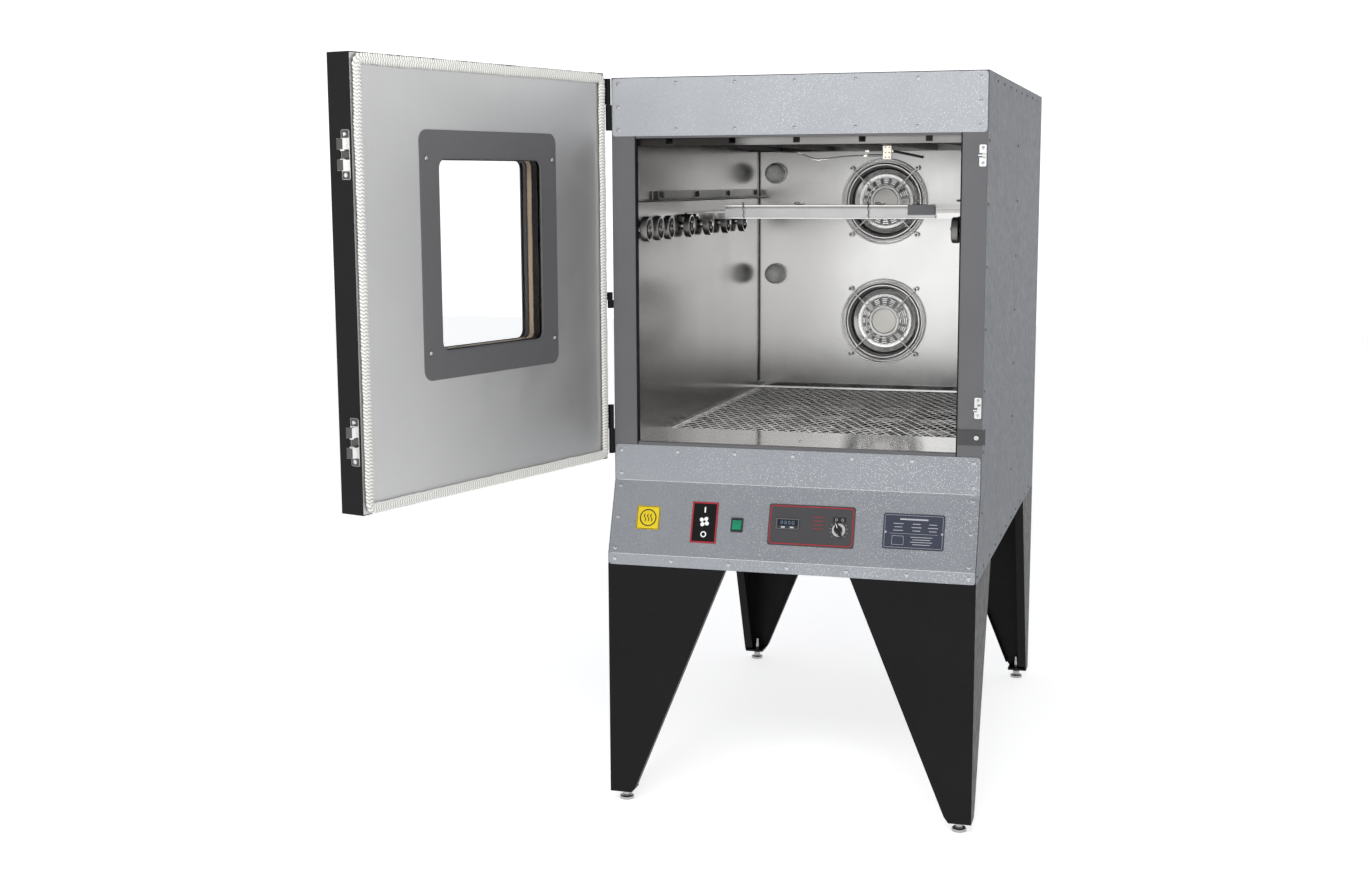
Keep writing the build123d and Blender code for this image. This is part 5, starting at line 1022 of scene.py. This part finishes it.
# rivets of the data plate, the corner plate's screw and the screws of the strikes
bm = bmesh.new()
for x in (635.3, 759.8):
    screw_head(bm, slope_matrix(x, 90, 1.1), 3.0, 1.3, x)
screw_head(bm, wall_matrix(RIGHT - 12, FRONT - 5, 881), 5.4, 1.8, 0.4)
for height in CATCH_HEIGHTS:
    for dz in (16, -16):
        screw_head(bm, wall_matrix(LEFT + 828.0, FRONT - SKIN - 1.2, height + dz), 3.3, 1.8, dz)
finish_mesh("plate_screws", bm, "screw", "cabinet")

# bright lines along the two folds of the lower fascia: thin bright tubes as painted highlights
bm = bmesh.new()
for y, z in ((FRONT - SKIN - 0.15, FOLD_HIGH - 0.3), (FRONT - NOSE + 0.05, FOLD_LOW + 0.4)):
    tube(bm, [(LEFT + 9.0, y, z), (MIDDLE, y, z), (RIGHT - 9.0, y, z)], 0.6, 8)
finish_mesh("fold_highlights", bm, "wire", "cabinet")

# knob pointer line
bm = bmesh.new()
m = slope_matrix(*SELECTOR, 14.3) @ Matrix.Rotation(math.radians(22), 4, "Z")
slab(bm, rounded(1.4, 11, 0.5, 3, 0, 8.5), -0.05, 0.25, m)
finish_mesh("knob_pointer", bm, "white_ink", "selector_knob")

# rocker ribs
bm = bmesh.new()
base = slope_matrix(*ROCKER, -2.0) @ Matrix.Rotation(math.radians(8), 4, "X")
for k in range(5):
    for side in (-1, 1):
        y = side * (4.4 + 0.75 * k)
        slab(bm, rounded(15.5, 0.5, 0.2, 2), -0.1, 0.35, base @ place_matrix(0, y, 4.5 + 0.14 * abs(y)))
finish_mesh("rocker_ribs", bm, "rocker", "power_rocker")

# ================= Floor, light, camera =================

ground = bpy.data.meshes.new("floor_plane")
size = 14.0
corners = [(-size, -size, 0), (size, -size, 0), (size, size, 0), (-size, size, 0)]
ground.from_pydata(corners, [], [(0, 1, 2, 3)])
floor = bpy.data.objects.new("studio_floor", ground)
bpy.context.scene.collection.objects.link(floor)
pale = Mat("floor_pale")
pale.put(Base_Color=pale.tone(pale.noise(0.6, 3), (0.86, 0.86, 0.86), (0.88, 0.88, 0.88)), Roughness=0.75)
pale.put(Emission_Color=(0.95, 0.95, 0.95), Emission_Strength=0.72)
ground.materials.append(pale.m)

world = bpy.data.worlds.new("studio")
bpy.context.scene.world = world
world.use_nodes = True
tree = world.node_tree
where = tree.nodes.new("ShaderNodeTexCoord")
split = tree.nodes.new("ShaderNodeSeparateXYZ")
sky = tree.nodes.new("ShaderNodeValToRGB")
tree.links.new(where.outputs["Generated"], split.inputs["Vector"])
tree.links.new(split.outputs["Z"], sky.inputs["Fac"])
tree.links.new(sky.outputs["Color"], tree.nodes["Background"].inputs["Color"])
sky.color_ramp.elements[0].position, sky.color_ramp.elements[0].color = 0.14, (1.0, 1.0, 1.0, 1)
sky.color_ramp.elements[1].position, sky.color_ramp.elements[1].color = 0.44, (0.20, 0.205, 0.22, 1)
tree.nodes["Background"].inputs["Strength"].default_value = 1.22


def softbox(name, place, target, size_x, size_y, power):
    """A rectangular area light that faces a point."""
    light = bpy.data.lights.new(name, "AREA")
    light.shape = "RECTANGLE"
    light.size, light.size_y = size_x, size_y
    light.energy = power
    o = bpy.data.objects.new(name, light)
    o.location = place
    o.rotation_euler = (Vector(target) - Vector(place)).to_track_quat("-Z", "Y").to_euler()
    bpy.context.scene.collection.objects.link(o)
    return o


key = softbox("key_front", (0.5, -2.6, 3.0), (0.45, 0.3, 1.3), 2.2, 1.0, 74)
softbox("fill_right", (3.4, -3.2, 2.2), (0.6, 0.4, 1.2), 1.4, 2.0, 2)
inner = softbox("chamber_fill", (0.40, 0.03, 1.20), (0.40, 1.2, 1.16), 0.62, 0.5, 10.0)
for lamp in (key, inner):
    lamp.visible_camera = False
    lamp.visible_glossy = False

camera = bpy.data.cameras.new("camera")
camera.lens = 45.79
camera.sensor_width = 36.0
camera.clip_end = 60.0
eye = bpy.data.objects.new("camera", camera)
yaw, pitch, roll = 0.2858, -0.1474, 0.0046
turn = Matrix.Rotation(yaw, 4, "Z") @ Matrix.Rotation(pitch, 4, "X") @ Matrix.Rotation(roll, 4, "Y")
turn = turn @ Matrix.Rotation(math.pi / 2, 4, "X")
eye.matrix_world = Matrix.Translation(Vector((1.2392, -3.7281, 1.4279))) @ turn
bpy.context.scene.collection.objects.link(eye)
bpy.context.scene.camera = eye
bpy.context.scene.view_settings.view_transform = "Standard"
